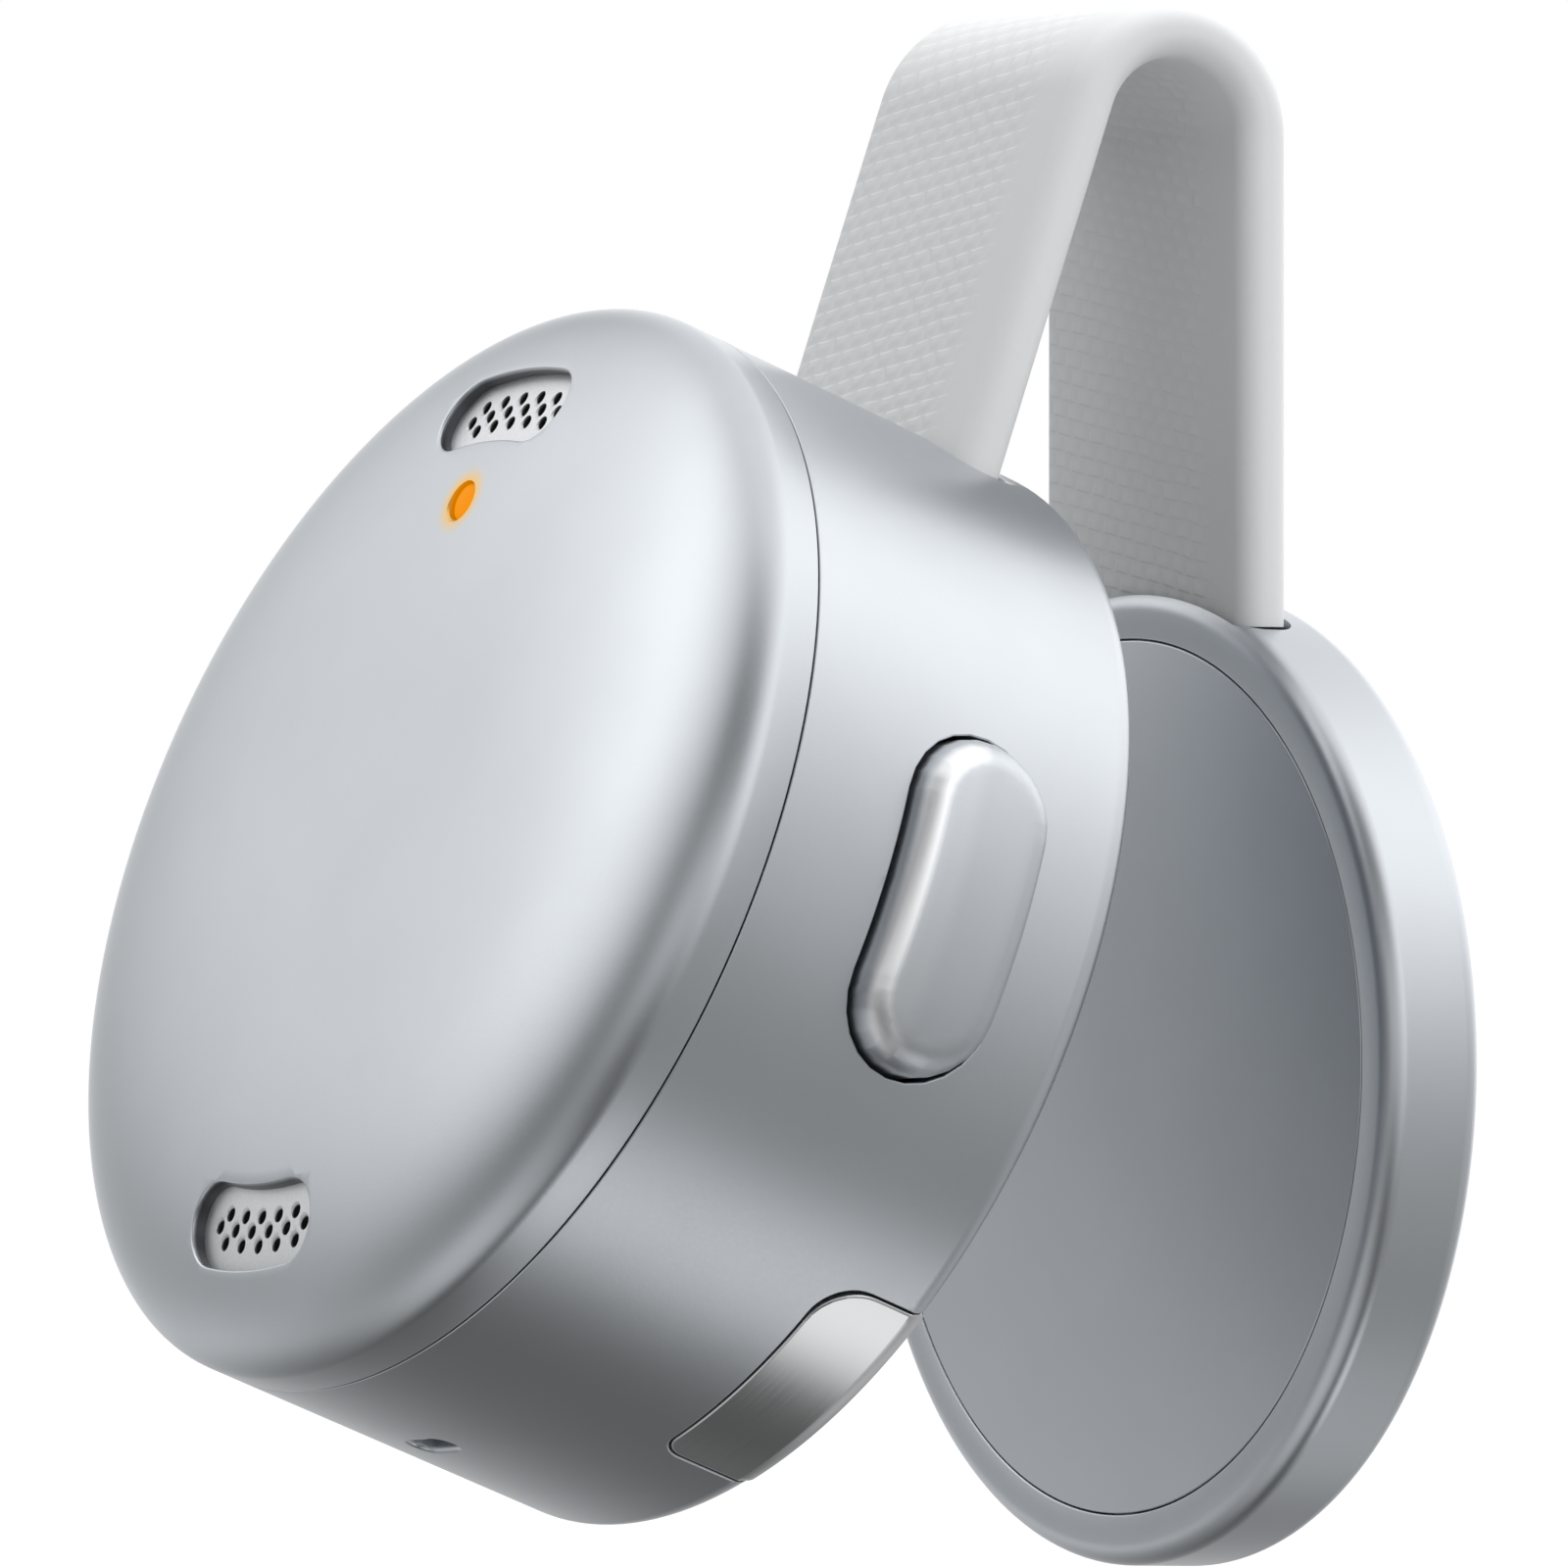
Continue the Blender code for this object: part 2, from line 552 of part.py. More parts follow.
def key_set(housing, layout):
    """Key, pad, click switch and its board; the key slides along local Z of its frame."""
    frame = side_frame("key_frame", pi / 2, KEY_LEVEL, layout)
    opening = pill(KEY_LENGTH + 2 * KEY_GAP, KEY_WIDTH + 2 * KEY_GAP)
    hole = prism(opening, BODY_INNER / 2, BODY_RADIUS + FAR)
    combine(housing, add_tool("key_opening", hole, frame), "DIFFERENCE")
    key = add_object("side_button", key_slab(KEY_PROUD), frame, ALUMINIUM)
    brim = pill(KEY_LENGTH + 2 * KEY_FLANGE, KEY_WIDTH + 2 * KEY_FLANGE)
    flange = prism(brim, KEY_FLANGE_BOTTOM, KEY_FLANGE_TOP)
    combine(key, add_tool("key_flange", flange, frame), "UNION")
    pad = prism(pill(KEY_LENGTH / 2, KEY_WIDTH / 2), KEY_PAD_BOTTOM, KEY_PAD_BOTTOM + KEY_PAD_DEPTH)
    add_object("button_pad", pad, frame, DARK_RUBBER)
    switch = block((SWITCH_WIDTH, SWITCH_LENGTH, SWITCH_HEIGHT), (0, 0, SWITCH_TOP - SWITCH_HEIGHT / 2))
    add_object("button_switch", switch, frame, BLACK_PLASTIC)
    middle = KEY_BOARD_TOP - KEY_BOARD_DEPTH / 2
    board = block((KEY_BOARD_WIDTH, KEY_BOARD_LENGTH, KEY_BOARD_DEPTH), (0, 0, middle))
    add_object("button_board", board, frame, BOARD_GREEN)


def door_section():
    """The door seen along its pin: a curved plate with a barrel on its inside.

    The outline runs counter-clockwise from the free end. The plate reaches past the pin, so that its rounded corner swings clear of the housing.
    """
    reach = BODY_RADIUS - DOOR_BARREL
    pin_turn = atan2(PIN_PLACE_Y, PIN_PLACE_X)
    meet = acos((DOOR_BARREL ** 2 + reach ** 2 - DOOR_INNER ** 2) / (2 * DOOR_BARREL * reach))
    lag = asin(DOOR_BARREL * sin(meet) / DOOR_INNER)
    free_end = acos(DOOR_REACH / DOOR_INNER)
    outer_end = acos(DOOR_REACH / BODY_RADIUS)
    section = arc_points((0, 0), BODY_RADIUS, outer_end, pi - outer_end, 3 * ARC)
    section += arc_points((0, 0), DOOR_INNER, pi - free_end, pin_turn + lag, ARC // 2)
    inward = pin_turn + pi
    section += arc_points((PIN_PLACE_X, PIN_PLACE_Y), DOOR_BARREL, inward - meet, inward + meet, ARC)[1:]
    section += arc_points((0, 0), DOOR_INNER, pin_turn - lag, free_end, 2 * ARC)[1:]
    return section


def door_outline(gap, frame, name):
    """The door's rounded outline, or that of its notch, as a tool down to the notch's floor."""
    side = DOOR_LENGTH / 2 - gap
    outline = rounded_rectangle(-side, side, -FAR, DOOR_HEIGHT - gap, (0, DOOR_FREE_CORNER, DOOR_HINGE_CORNER, 0))
    tilted = add_frame(name + "_frame", (0, 0, 0), (pi / 2, 0, 0), frame)
    return add_tool(name, prism(outline, -BODY_RADIUS - FAR, -NOTCH_BOTTOM), tilted)


def door_set(housing, layout):
    """Hinged door over the charging socket; it turns about local Z at its pin."""
    frame = add_frame("door_frame", (0, 0, 0), (0, 0, -DOOR_ANGLE), layout)
    hinge = add_frame("door_hinge", (PIN_PLACE_X, PIN_PLACE_Y, 0), (0, 0, 0), frame)
    combine(housing, door_outline(0.0, frame, "door_notch"), "DIFFERENCE")
    bore_top = PIN_BOTTOM + PIN_LENGTH + FIT
    bore = add_rods("pin_bore", frame, [(PIN_PLACE_X, PIN_PLACE_Y)], PIN_RADIUS + PIN_GAP, -FAR, bore_top)
    combine(housing, bore, "DIFFERENCE")

    plate = prism(door_section(), DOOR_REAR, DOOR_HEIGHT)
    face_outward(plate)
    rim = [e for e in plate.edges if all(v.co.z < DOOR_REAR + FIT and v.co.xy.length > BODY_RADIUS - FIT
                                         for v in e.verts)]
    bmesh.ops.bevel(plate, geom=rim, offset=DOOR_CHAMFER, segments=1, affect="EDGES")
    bmesh.ops.translate(plate, verts=plate.verts, vec=(-PIN_PLACE_X, -PIN_PLACE_Y, 0))
    door = add_object("port_door", plate, hinge, POLISHED)
    combine(door, door_outline(FIT, frame, "door_trim"), "INTERSECT")
    combine(door, bore, "DIFFERENCE")
    add_object("door_pin", rod(PIN_RADIUS, PIN_BOTTOM, PIN_BOTTOM + PIN_LENGTH, 12), hinge, STEEL)

    middle = FLOOR + FIT + SOCKET_HEIGHT / 2
    shell = block((SOCKET_WIDTH, SOCKET_LENGTH, SOCKET_HEIGHT), (0, SOCKET_FRONT - SOCKET_LENGTH / 2, middle))
    socket = add_object("charge_port", shell, frame, STEEL)
    cavity = (SOCKET_WIDTH - 2 * SOCKET_WALL, 2 * (SOCKET_LENGTH - SOCKET_WALL),
              SOCKET_HEIGHT - 2 * SOCKET_WALL)
    combine(socket, add_tool("socket_mouth", block(cavity, (0, SOCKET_FRONT, middle)), frame), "DIFFERENCE")


def light_set(layout):
    """Orange light pipe with a flange under the shell, over a lamp on the board."""
    lamp_level = BOARD_TOP + FIT + LAMP_HEIGHT / 2
    lamp = block((LAMP_WIDTH, LAMP_LENGTH, LAMP_HEIGHT), (0, LIGHT_PLACE, lamp_level))
    add_object("led_chip", lamp, layout, AMBER)
    top = face_height(LIGHT_PLACE) - LIGHT_RECESS
    flange = face_height(LIGHT_PLACE + LIGHT_FLANGE_RADIUS, WALL) - FIT
    stem = LIGHT_RADIUS - PIN_GAP
    profile = [(0, top), (stem, top), (stem, flange), (LIGHT_FLANGE_RADIUS, flange),
               (LIGHT_FLANGE_RADIUS, flange - LIGHT_FLANGE_DEPTH), (stem, flange - LIGHT_FLANGE_DEPTH)]
    base = lamp_level + LAMP_HEIGHT / 2 + FIT
    profile += [(stem, base), (0, base)]
    pipe = add_turned(bmesh.new(), profile, SMALL_ROUND, 0.0, LIGHT_PLACE)
    add_object("light_pipe", pipe, layout, ORANGE)


def microphone(side, frame):
    """Grille plate, dust mesh, boot and microphone at one end of the face."""
    plate = under_face(GRILLE_OUTLINE, GRILLE_RECESS, GRILLE_THICKNESS)
    grille = add_object("grille_" + side, plate, frame, GRILLE_GREY)
    combine(grille, add_tool("grille_holes_" + side, grille_holes(), frame), "DIFFERENCE")
    depth = GRILLE_RECESS + GRILLE_THICKNESS + FIT
    dust = under_face(GRILLE_OUTLINE - FIT, depth, MESH_THICKNESS)
    add_object("acoustic_mesh_" + side, dust, frame, DARK_RUBBER)
    bottom = BOARD_TOP + FIT
    can = block((MIC_WIDTH, MIC_LENGTH, MIC_HEIGHT), (0, MIC_PLACE, bottom + MIC_HEIGHT / 2))
    add_object("mic_" + side, can, frame, STEEL)
    seat = bottom + MIC_HEIGHT + FIT
    top = seat + BOOT_DEPTH
    ring = [(BOOT_BORE, seat), (BOOT_RADIUS, seat), (BOOT_RADIUS, top), (BOOT_BORE, top)]
    add_object("mic_boot_" + side, add_turned(bmesh.new(), ring, SMALL_ROUND, 0.0, MIC_PLACE), frame, DARK_RUBBER)


def electronics(layout):
    """Board with its screws, screening can, cell with foam and tab, and the puck's magnet."""
    board = add_object("main_board", rod(BOARD_RADIUS, BOARD_BOTTOM, BOARD_TOP, 48), layout, BOARD_GREEN)
    bores = add_rods("board_bores", layout, boss_places(), SCREW_RADIUS + PIN_GAP, BOARD_BOTTOM - FAR,
                     BOARD_TOP + FAR)
    combine(board, bores, "DIFFERENCE")
    add_screws("board_screw", layout, boss_places(), SCREW_RADIUS, SCREW_BOTTOM, BOARD_TOP + FIT,
               SCREW_HEAD_RADIUS, SCREW_HEAD_DEPTH)
    shield = block((SHIELD_SIDE, SHIELD_SIDE, SHIELD_HEIGHT), (0, 0, SHIELD_BOTTOM + SHIELD_HEIGHT / 2))
    add_object("processor_shield", shield, layout, STEEL)
    add_object("battery", rod(BATTERY_RADIUS, BATTERY_BOTTOM, BATTERY_TOP, 40), layout, FOIL)
    tab_bottom = BATTERY_BOTTOM + PAD_DEPTH
    tab_top = BOARD_BOTTOM - FIT
    tab_place = (-BATTERY_RADIUS - FIT - TAB_THICKNESS / 2, 0, (tab_bottom + tab_top) / 2)
    tab = block((TAB_THICKNESS, TAB_WIDTH, tab_top - tab_bottom), tab_place)
    add_object("battery_flex", tab, layout, AMBER)
    pad = rod(MAGNET_RADIUS, PAD_BOTTOM, PAD_BOTTOM + PAD_DEPTH, 24)
    add_object("battery_pad", pad, layout, DARK_RUBBER)
    magnet = rod(MAGNET_RADIUS, MAGNET_BOTTOM, MAGNET_BOTTOM + MAGNET_DEPTH, 32)
    add_object("body_magnet", magnet, layout, MAGNET)


def strap_section(y):
    """Outline of the strap across its width, its middle surface at a distance y from the bending axis."""
    side = STRAP_WIDTH / 2
    half = STRAP_THICKNESS / 2
    return rounded_rectangle(-side, side, y - half, y + half, (STRAP_ROUNDING,) * 4)


def strap_crown():
    """The bend over the garment's edge, from the rear leg round to the front leg."""
    gap = JOINT_GAP / 2 / CROWN_RADIUS
    start = LEG_SLOPE + gap
    end = pi - (BODY_TILT - LEG_SLOPE) - gap
    bm = bmesh.new()
    face = bm.faces.new([bm.verts.new((x, y, 0)) for x, y in strap_section(CROWN_RADIUS)])
    bmesh.ops.rotate(bm, verts=bm.verts, cent=(0, 0, 0), matrix=Matrix.Rotation(start, 3, "X"))
    bmesh.ops.spin(bm, geom=[face, *face.edges, *face.verts], cent=(0, 0, 0), axis=(1, 0, 0),
                   angle=end - start, steps=16)
    add_object("strap_crown", bm, None, ELASTOMER)


def strap_legs(front_leg, rear_leg):
    front = prism(strap_section(-CROWN_RADIUS), -STRAP_LEG_PUCK, -JOINT_GAP / 2)
    add_object("strap_front_leg", front, front_leg, ELASTOMER)
    rear = prism(strap_section(CROWN_RADIUS), -STRAP_LEG_DISC, -JOINT_GAP / 2)
    leg = add_object("strap_rear_leg", rear, rear_leg, ELASTOMER)
    place = CROWN_RADIUS + (STRAP_THICKNESS - TANG_THICKNESS - FIT) / 2
    size = (STRAP_WIDTH - 2 * STRAP_ROUNDING, TANG_THICKNESS, 2 * TANG_LENGTH)
    combine(leg, add_tool("tang", block(size, (0, place, -STRAP_LEG_DISC)), rear_leg), "UNION")
    return leg


def clip_disc(disc, rear_leg, leg):
    """Shell with a rounded rim, inset plate, magnet and the screws through the strap's tang."""
    front = arc_points((DISC_RADIUS - DISC_FILLET, -DISC_FILLET), DISC_FILLET, 0, pi / 2, ARC)
    back = arc_points((DISC_RADIUS - DISC_FILLET, DISC_FILLET - DISC_DEPTH), DISC_FILLET, -pi / 2, 0, ARC)
    ledge = -INLAY_DEPTH - FIT
    floor = DISC_BACK - DISC_DEPTH
    recess = [(INLAY_RADIUS + SEAM_GAP, 0), (INLAY_RADIUS + SEAM_GAP, ledge), (INLAY_RADIUS - LEDGE, ledge),
              (INLAY_RADIUS - LEDGE, floor), (0, floor)]
    shell = add_object("disc_shell", turned([(0, -DISC_DEPTH)] + back + front + recess), disc, ALUMINIUM)
    slot = slot_block(1, DISC_DISTANCE, INLAY_RADIUS - LEDGE)
    combine(shell, add_tool("disc_slot", slot, rear_leg), "DIFFERENCE")

    level = DISC_DISTANCE - STRAP_LEG_DISC - TANG_LENGTH + TANG_SCREW_END
    places = [(-TANG_SCREW_PLACE, level), (TANG_SCREW_PLACE, level)]
    bottom = floor - DISC_BACK / 2
    wells = add_rods("tang_bores", disc, places, SCREW_RADIUS + FIT, bottom - FIT, 0.0)
    combine(shell, wells, "DIFFERENCE")
    combine(leg, wells, "DIFFERENCE")
    seat = TANG_SCREW_TOP - TANG_SCREW_HEAD
    add_screws("disc_strap_screw", disc, places, SCREW_RADIUS, bottom, seat, SCREW_HEAD_RADIUS,
               TANG_SCREW_HEAD)
    add_object("disc_inner_plate", rod(INLAY_RADIUS, -INLAY_DEPTH, 0, ROUND), disc, ALUMINIUM)
    magnet = rod(DISC_MAGNET_RADIUS, floor + FIT, floor + FIT + DISC_MAGNET_DEPTH, 32)
    add_object("disc_magnet", magnet, disc, MAGNET)


def main():
    clear_scene()
    hang = (0, -PUCK_DISTANCE * sin(BODY_TILT), -PUCK_DISTANCE * cos(BODY_TILT))
    body = add_frame("recorder_frame", hang, (pi / 2 - BODY_TILT, 0, 0))
    layout = add_frame("layout_frame", (0, 0, 0), (0, 0, LAYOUT_TURN), body)
    disc = add_frame("disc_frame", (0, DISC_OFFSET, -DISC_DISTANCE), (pi / 2, 0, 0))
    front_leg = add_frame("front_leg_frame", (0, 0, 0), (LEG_SLOPE - BODY_TILT, 0, 0))
    rear_leg = add_frame("rear_leg_frame", (0, 0, 0), (LEG_SLOPE, 0, 0))
    grilles = {side: add_frame("grille_frame_" + side, (0, 0, 0), (0, 0, turn), layout)
               for side, turn in (("top", 0.0), ("bottom", pi))}

    front_shell(layout, grilles.values())
    shell_seal(layout)
    housing = rear_housing(body, layout)
    slot = slot_block(-1, PUCK_DISTANCE, BODY_INNER)
    combine(housing, add_tool("strap_slot", slot, front_leg), "DIFFERENCE")
    vent(housing, layout)
    key_set(housing, layout)
    door_set(housing, layout)
    light_set(layout)
    for side, frame in grilles.items():
        microphone(side, frame)
    electronics(layout)
    strap_clamp(body)
    strap_crown()
    leg = strap_legs(front_leg, rear_leg)
    clip_disc(disc, rear_leg, leg)


main()
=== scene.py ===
"""Looks of the clip-on voice recorder: fine meshes, finishes, stage, light and camera.

Lengths are metres. The origin lies on the strap's bending axis, +Z is up, and +X points to the key's side.
"""
from math import acos, cos, hypot, pi, radians, sin, sqrt

import bmesh
import bpy
from bpy.props import FloatProperty, FloatVectorProperty, PointerProperty
from mathutils import Euler, Matrix, Vector


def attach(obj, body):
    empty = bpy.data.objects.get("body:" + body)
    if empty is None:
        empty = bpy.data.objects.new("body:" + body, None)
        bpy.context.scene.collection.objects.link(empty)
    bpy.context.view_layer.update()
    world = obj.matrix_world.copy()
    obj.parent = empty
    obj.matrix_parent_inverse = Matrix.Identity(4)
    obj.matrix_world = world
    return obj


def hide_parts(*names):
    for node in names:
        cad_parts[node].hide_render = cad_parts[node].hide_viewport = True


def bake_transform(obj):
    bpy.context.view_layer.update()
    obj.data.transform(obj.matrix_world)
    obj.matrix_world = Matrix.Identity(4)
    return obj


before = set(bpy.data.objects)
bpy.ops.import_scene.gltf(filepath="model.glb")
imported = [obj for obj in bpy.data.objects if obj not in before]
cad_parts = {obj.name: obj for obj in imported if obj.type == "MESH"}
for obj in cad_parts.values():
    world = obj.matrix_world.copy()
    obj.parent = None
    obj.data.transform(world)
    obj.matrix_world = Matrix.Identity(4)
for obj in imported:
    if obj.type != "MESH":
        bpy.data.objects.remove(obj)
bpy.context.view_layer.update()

bl_info = {
    "name": "Clip-on Voice Recorder",
    "version": (1, 0, 0),
    "blender": (4, 5, 0),
    "location": "View3D > Sidebar > Recorder",
    "description": "Builds the fine meshes, finishes and studio of a clip-on voice recorder",
    "category": "Add Mesh",
}

MM = 0.001

# Puck, as in the solids
BODY_RADIUS = 15.95 * MM
BODY_DEPTH = 15.0 * MM
FACE_DROP = 2.79 * MM
FACE_POWER = 3.716
REAR_FILLET = 0.8 * MM
SEAM_LEVEL = 11.2 * MM
SEAM_GAP = 0.045 * MM
WALL = 1.1 * MM
FLOOR = 1.0 * MM
SPIGOT_OUTER = 14.7 * MM
SPIGOT_INNER = 13.9 * MM
SPIGOT_DEPTH = 1.5 * MM
LAYOUT_TURN = radians(3.2)
BODY_TILT = radians(19.8)
PUCK_DISTANCE = 26.28 * MM

# Disc
DISC_RADIUS = 13.93 * MM
DISC_DEPTH = 3.2 * MM
DISC_FILLET = 0.63 * MM
DISC_BACK = 0.8 * MM
DISC_OFFSET = 2.22 * MM
DISC_DISTANCE = 26.61 * MM
INLAY_RADIUS = 12.45 * MM
INLAY_DEPTH = 0.5 * MM
LEDGE = 0.6 * MM

# Strap
STRAP_WIDTH = 10.9 * MM
STRAP_THICKNESS = 1.58 * MM
CROWN_RADIUS = 2.95 * MM
LEG_SLOPE = radians(1.8)
PUCK_LEG = 15.03 * MM
DISC_LEG = 13.88 * MM
LEG_STEPS = 20
CROWN_STEPS = 56
SLOT_CORNER = 0.7 * MM
SLOT_LIP = 0.14 * MM
PUCK_SLOT_DEPTH = 4 * MM
DISC_SLOT_DEPTH = 3.2 * MM
TWILL_ROW = 0.5 * MM
TWILL_BAR = 0.83 * MM

# Grilles and light
GRILLE_RADIUS = 12.27 * MM
GRILLE_HALF_WIDTH = 1.17 * MM
GRILLE_HALF_ANGLE = radians(14.58)
GRILLE_RECESS = 0.43 * MM
GRILLE_THICKNESS = 0.3 * MM
GRILLE_FLANGE = 0.6 * MM
GRILLE_ROWS = (5, 6, 5)
GRILLE_ROW_SPACING = 0.403 * MM
GRILLE_PITCH = 0.908 * MM
POCKET_DEPTH = 1.6 * MM
REBATE_DEPTH = 2.5 * MM
HOLE_DEPTH = 0.6 * MM
HOLE_EDGE = 0.03 * MM
HOLE_FLARE = 0.09 * MM
HOLE_RISE = 0.06 * MM
LIGHT_PLACE = 9.23 * MM
LIGHT_RADIUS = 0.61 * MM
LIGHT_FLANGE_RADIUS = 1.1 * MM
LIGHT_FLANGE_THICKNESS = 0.4 * MM
LIGHT_HOLE_REACH = 3 * MM
LIGHT_HOLE_RIM = 0.03 * MM
LIGHT_SUNK = 0.08 * MM
LIGHT_CLEARANCE = 0.06 * MM
LIGHT_DOME = 0.10 * MM
LIGHT_FOOT = 0.7 * MM

# Key, door and vent
KEY_LENGTH = 9.6 * MM
KEY_WIDTH = 4.3 * MM
KEY_LEVEL = 5.2 * MM
KEY_PROUD = 0.9 * MM
KEY_DEPTH = 3.0 * MM
KEY_GAP = 0.12 * MM
KEY_OPENING_DEPTH = 3.0 * MM
KEY_OPENING_LIP = 0.07 * MM
DOOR_ANGLE = radians(143.25)
DOOR_LENGTH = 8.04 * MM
DOOR_HEIGHT = 3.3 * MM
DOOR_THICKNESS = 0.9 * MM
DOOR_HINGE_CORNER = 1.5 * MM
DOOR_FREE_CORNER = 0.7 * MM
DOOR_REAR = 0.1 * MM
DOOR_REAR_CORNER = 0.12 * MM
DOOR_EDGE = 0.07 * MM
DOOR_CHAMFER = 0.55 * MM
NOTCH_DEPTH = 2.3 * MM
NOTCH_LIP = 0.07 * MM
NOTCH_OVERRUN = 4 * MM
VENT_ANGLE = radians(179.0)
VENT_LEVEL = 6.9 * MM
VENT_LENGTH = 1.9 * MM
VENT_WIDTH = 0.8 * MM
VENT_DEPTH = 2.0 * MM
VENT_LIP = 0.16 * MM
FIT = 0.15 * MM
SWING_ROOM = 0.24 * MM
DOOR_GAP = 0.065 * MM

# Meshes
LIP_TURN = radians(76)
LIP_RUN = 8
MERGE_DISTANCE = 2e-7
SHARP = 35.0

# Studio
FLOOR_LEVEL = -0.11
FLOOR_RADIUS = 4.0
DARKEST_SIDE = 0.07
LENS = 369.3


# Places ---------------------------------------------------------------------------------------------------

def turn(angle, axis):
    return Matrix.Rotation(angle, 4, axis)


def shift(x=0.0, y=0.0, z=0.0):
    return Matrix.Translation((x, y, z))


PUCK = (shift(y=-PUCK_DISTANCE * sin(BODY_TILT), z=-PUCK_DISTANCE * cos(BODY_TILT))
        @ turn(pi / 2 - BODY_TILT, "X"))
LAYOUT = PUCK @ turn(LAYOUT_TURN, "Z")
DISC = shift(y=DISC_OFFSET, z=-DISC_DISTANCE) @ turn(pi / 2, "X")
FRONT_LEG = turn(LEG_SLOPE - BODY_TILT, "X")
REAR_LEG = turn(LEG_SLOPE, "X")
TOP_GRILLE = LAYOUT
BOTTOM_GRILLE = LAYOUT @ turn(pi, "Z")


def on_side(angle, level):
    """Frame on the puck's side: local Z points out, local Y along the circumference, local X backward."""
    return LAYOUT @ shift(z=level) @ Euler((0, pi / 2, pi / 2 - angle)).to_matrix().to_4x4()


def face_height(radius, inset=0.0):
    """Height of the crowned face over the rear plane, or of its inner side for an inset of one wall."""
    reach = min(radius / (BODY_RADIUS - inset), 1.0)
    return BODY_DEPTH - FACE_DROP - inset + FACE_DROP * sqrt(1 - reach ** FACE_POWER)


def face_points(inset, steps):
    """The crowned face from its centre out to the side, as a profile."""
    radius = BODY_RADIUS - inset
    turns = [pi / 2 * k / steps for k in range(steps + 1)]
    return [(radius * sin(t) ** (2 / FACE_POWER), BODY_DEPTH - FACE_DROP - inset + FACE_DROP * cos(t))
            for t in turns]


# Modelling ------------------------------------------------------------------------------------------------

def corner(centre, radius, start, end, steps=4):
    """Points of a rounded corner in a profile."""
    span = [start + (end - start) * k / steps for k in range(steps + 1)]
    return [(centre[0] + radius * cos(a), centre[1] + radius * sin(a)) for a in span]


def lathe(profile, steps=192, bm=None, centre=(0.0, 0.0)):
    """Turn a closed profile of (radius, height) about a vertical axis."""
    bm = bm or bmesh.new()
    verts = [bm.verts.new((centre[0] + r, centre[1], z)) for r, z in profile]
    edges = [bm.edges.new(pair) for pair in zip(verts, verts[1:])]
    if profile[0][0] > 0:
        edges.append(bm.edges.new((verts[-1], verts[0])))
    bmesh.ops.spin(bm, geom=verts + edges, cent=(*centre, 0), axis=(0, 0, 1), angle=2 * pi, steps=steps,
                   use_merge=True)
    return bm


def draw(bm, start, moves):
    """Draw a closed ring of edges in the XY plane from arcs and straight runs.

    A move is (centre, angle, steps) for an arc or ((dx, dy), steps) for a straight run.
    """
    tip = bm.verts.new((*start, 0))
    ring = [tip]
    for move in moves:
        steps = move[-1]
        if len(move) == 3:
            path = {"cent": (*move[0], 0), "angle": move[1]}
        else:
            run = (move[0][0] / steps, move[0][1] / steps, 0)
            path = {"cent": (0, 0, 0), "angle": 0, "dvec": run}
        grown = bmesh.ops.spin(bm, geom=[tip], axis=(0, 0, 1), steps=steps, **path)
        tip = next(item for item in grown["geom_last"] if isinstance(item, bmesh.types.BMVert))
        known = set(ring)
        chain = [ring[-1]]
        while len(chain) <= steps:
            chain.append(next(v for e in chain[-1].link_edges for v in e.verts
                              if v not in known and v not in chain))
        ring += chain[1:]
    bmesh.ops.weld_verts(bm, targetmap={ring[-1]: ring[0]})
    return ring[:-1]


def pill_ring(bm, length, width, grow=0.0, steps=12, side_steps=16):
    """Slot outline with round ends, long along Y, grown outward by a distance."""
    reach = (length - width) / 2
    half = width / 2 + grow
    return draw(bm, (half, -reach), [((0, 2 * reach), side_steps), ((0, reach), pi, steps),
                                     ((0, -2 * reach), side_steps), ((0, -reach), pi, steps)])


def kidney_ring(bm, half_width, steps=14, side_steps=28):
    """Curved slot outline round the local Z axis, centred on +Y."""
    straight = GRILLE_HALF_ANGLE - GRILLE_HALF_WIDTH / GRILLE_RADIUS
    left = (-GRILLE_RADIUS * sin(straight), GRILLE_RADIUS * cos(straight))
    right = (-left[0], left[1])
    outer = GRILLE_RADIUS + half_width
    start = (outer * sin(straight), outer * cos(straight))
    return draw(bm, start, [((0, 0), 2 * straight, side_steps), (left, pi, steps),
                            ((0, 0), -2 * straight, side_steps), (right, pi, steps)])


def panel_ring(bm, low, high, near, far, radii, pieces=(1, 1), steps=10):
    """Rectangle from low to high in X and near to far in Y, with corner radii counter-clockwise.

    The radii run from the corner (high, near); a corner of radius 0 stays square. The sides along X and Y are
    divided into so many pieces.
    """
    corners = [(high, near, -pi / 2), (high, far, 0.0), (low, far, pi / 2), (low, near, pi)]
    runs = []
    for (x, y, start), radius in zip(corners, radii):
        middle = (x + (-radius if x == high else radius), y + (-radius if y == far else radius))
        runs.append(corner(middle, radius, start, start + pi / 2, steps) if radius else [(x, y)])
    verts = []
    for number, run in enumerate(runs):
        verts += [bm.verts.new((*point, 0)) for point in run]
        ahead = Vector(runs[(number + 1) % 4][0])
        last = Vector(run[-1])
        count = pieces[1 - number % 2]
        verts += [bm.verts.new((*last.lerp(ahead, k / count), 0)) for k in range(1, count)]
    for pair in zip(verts, verts[1:] + verts[:1]):
        bm.edges.new(pair)
    return verts


def everything(bm):
    return bm.verts[:] + bm.edges[:] + bm.faces[:]


def ring_edges(ring):
    known = set(ring)
    return list({e for v in ring for e in v.link_edges if e.other_vert(v) in known})


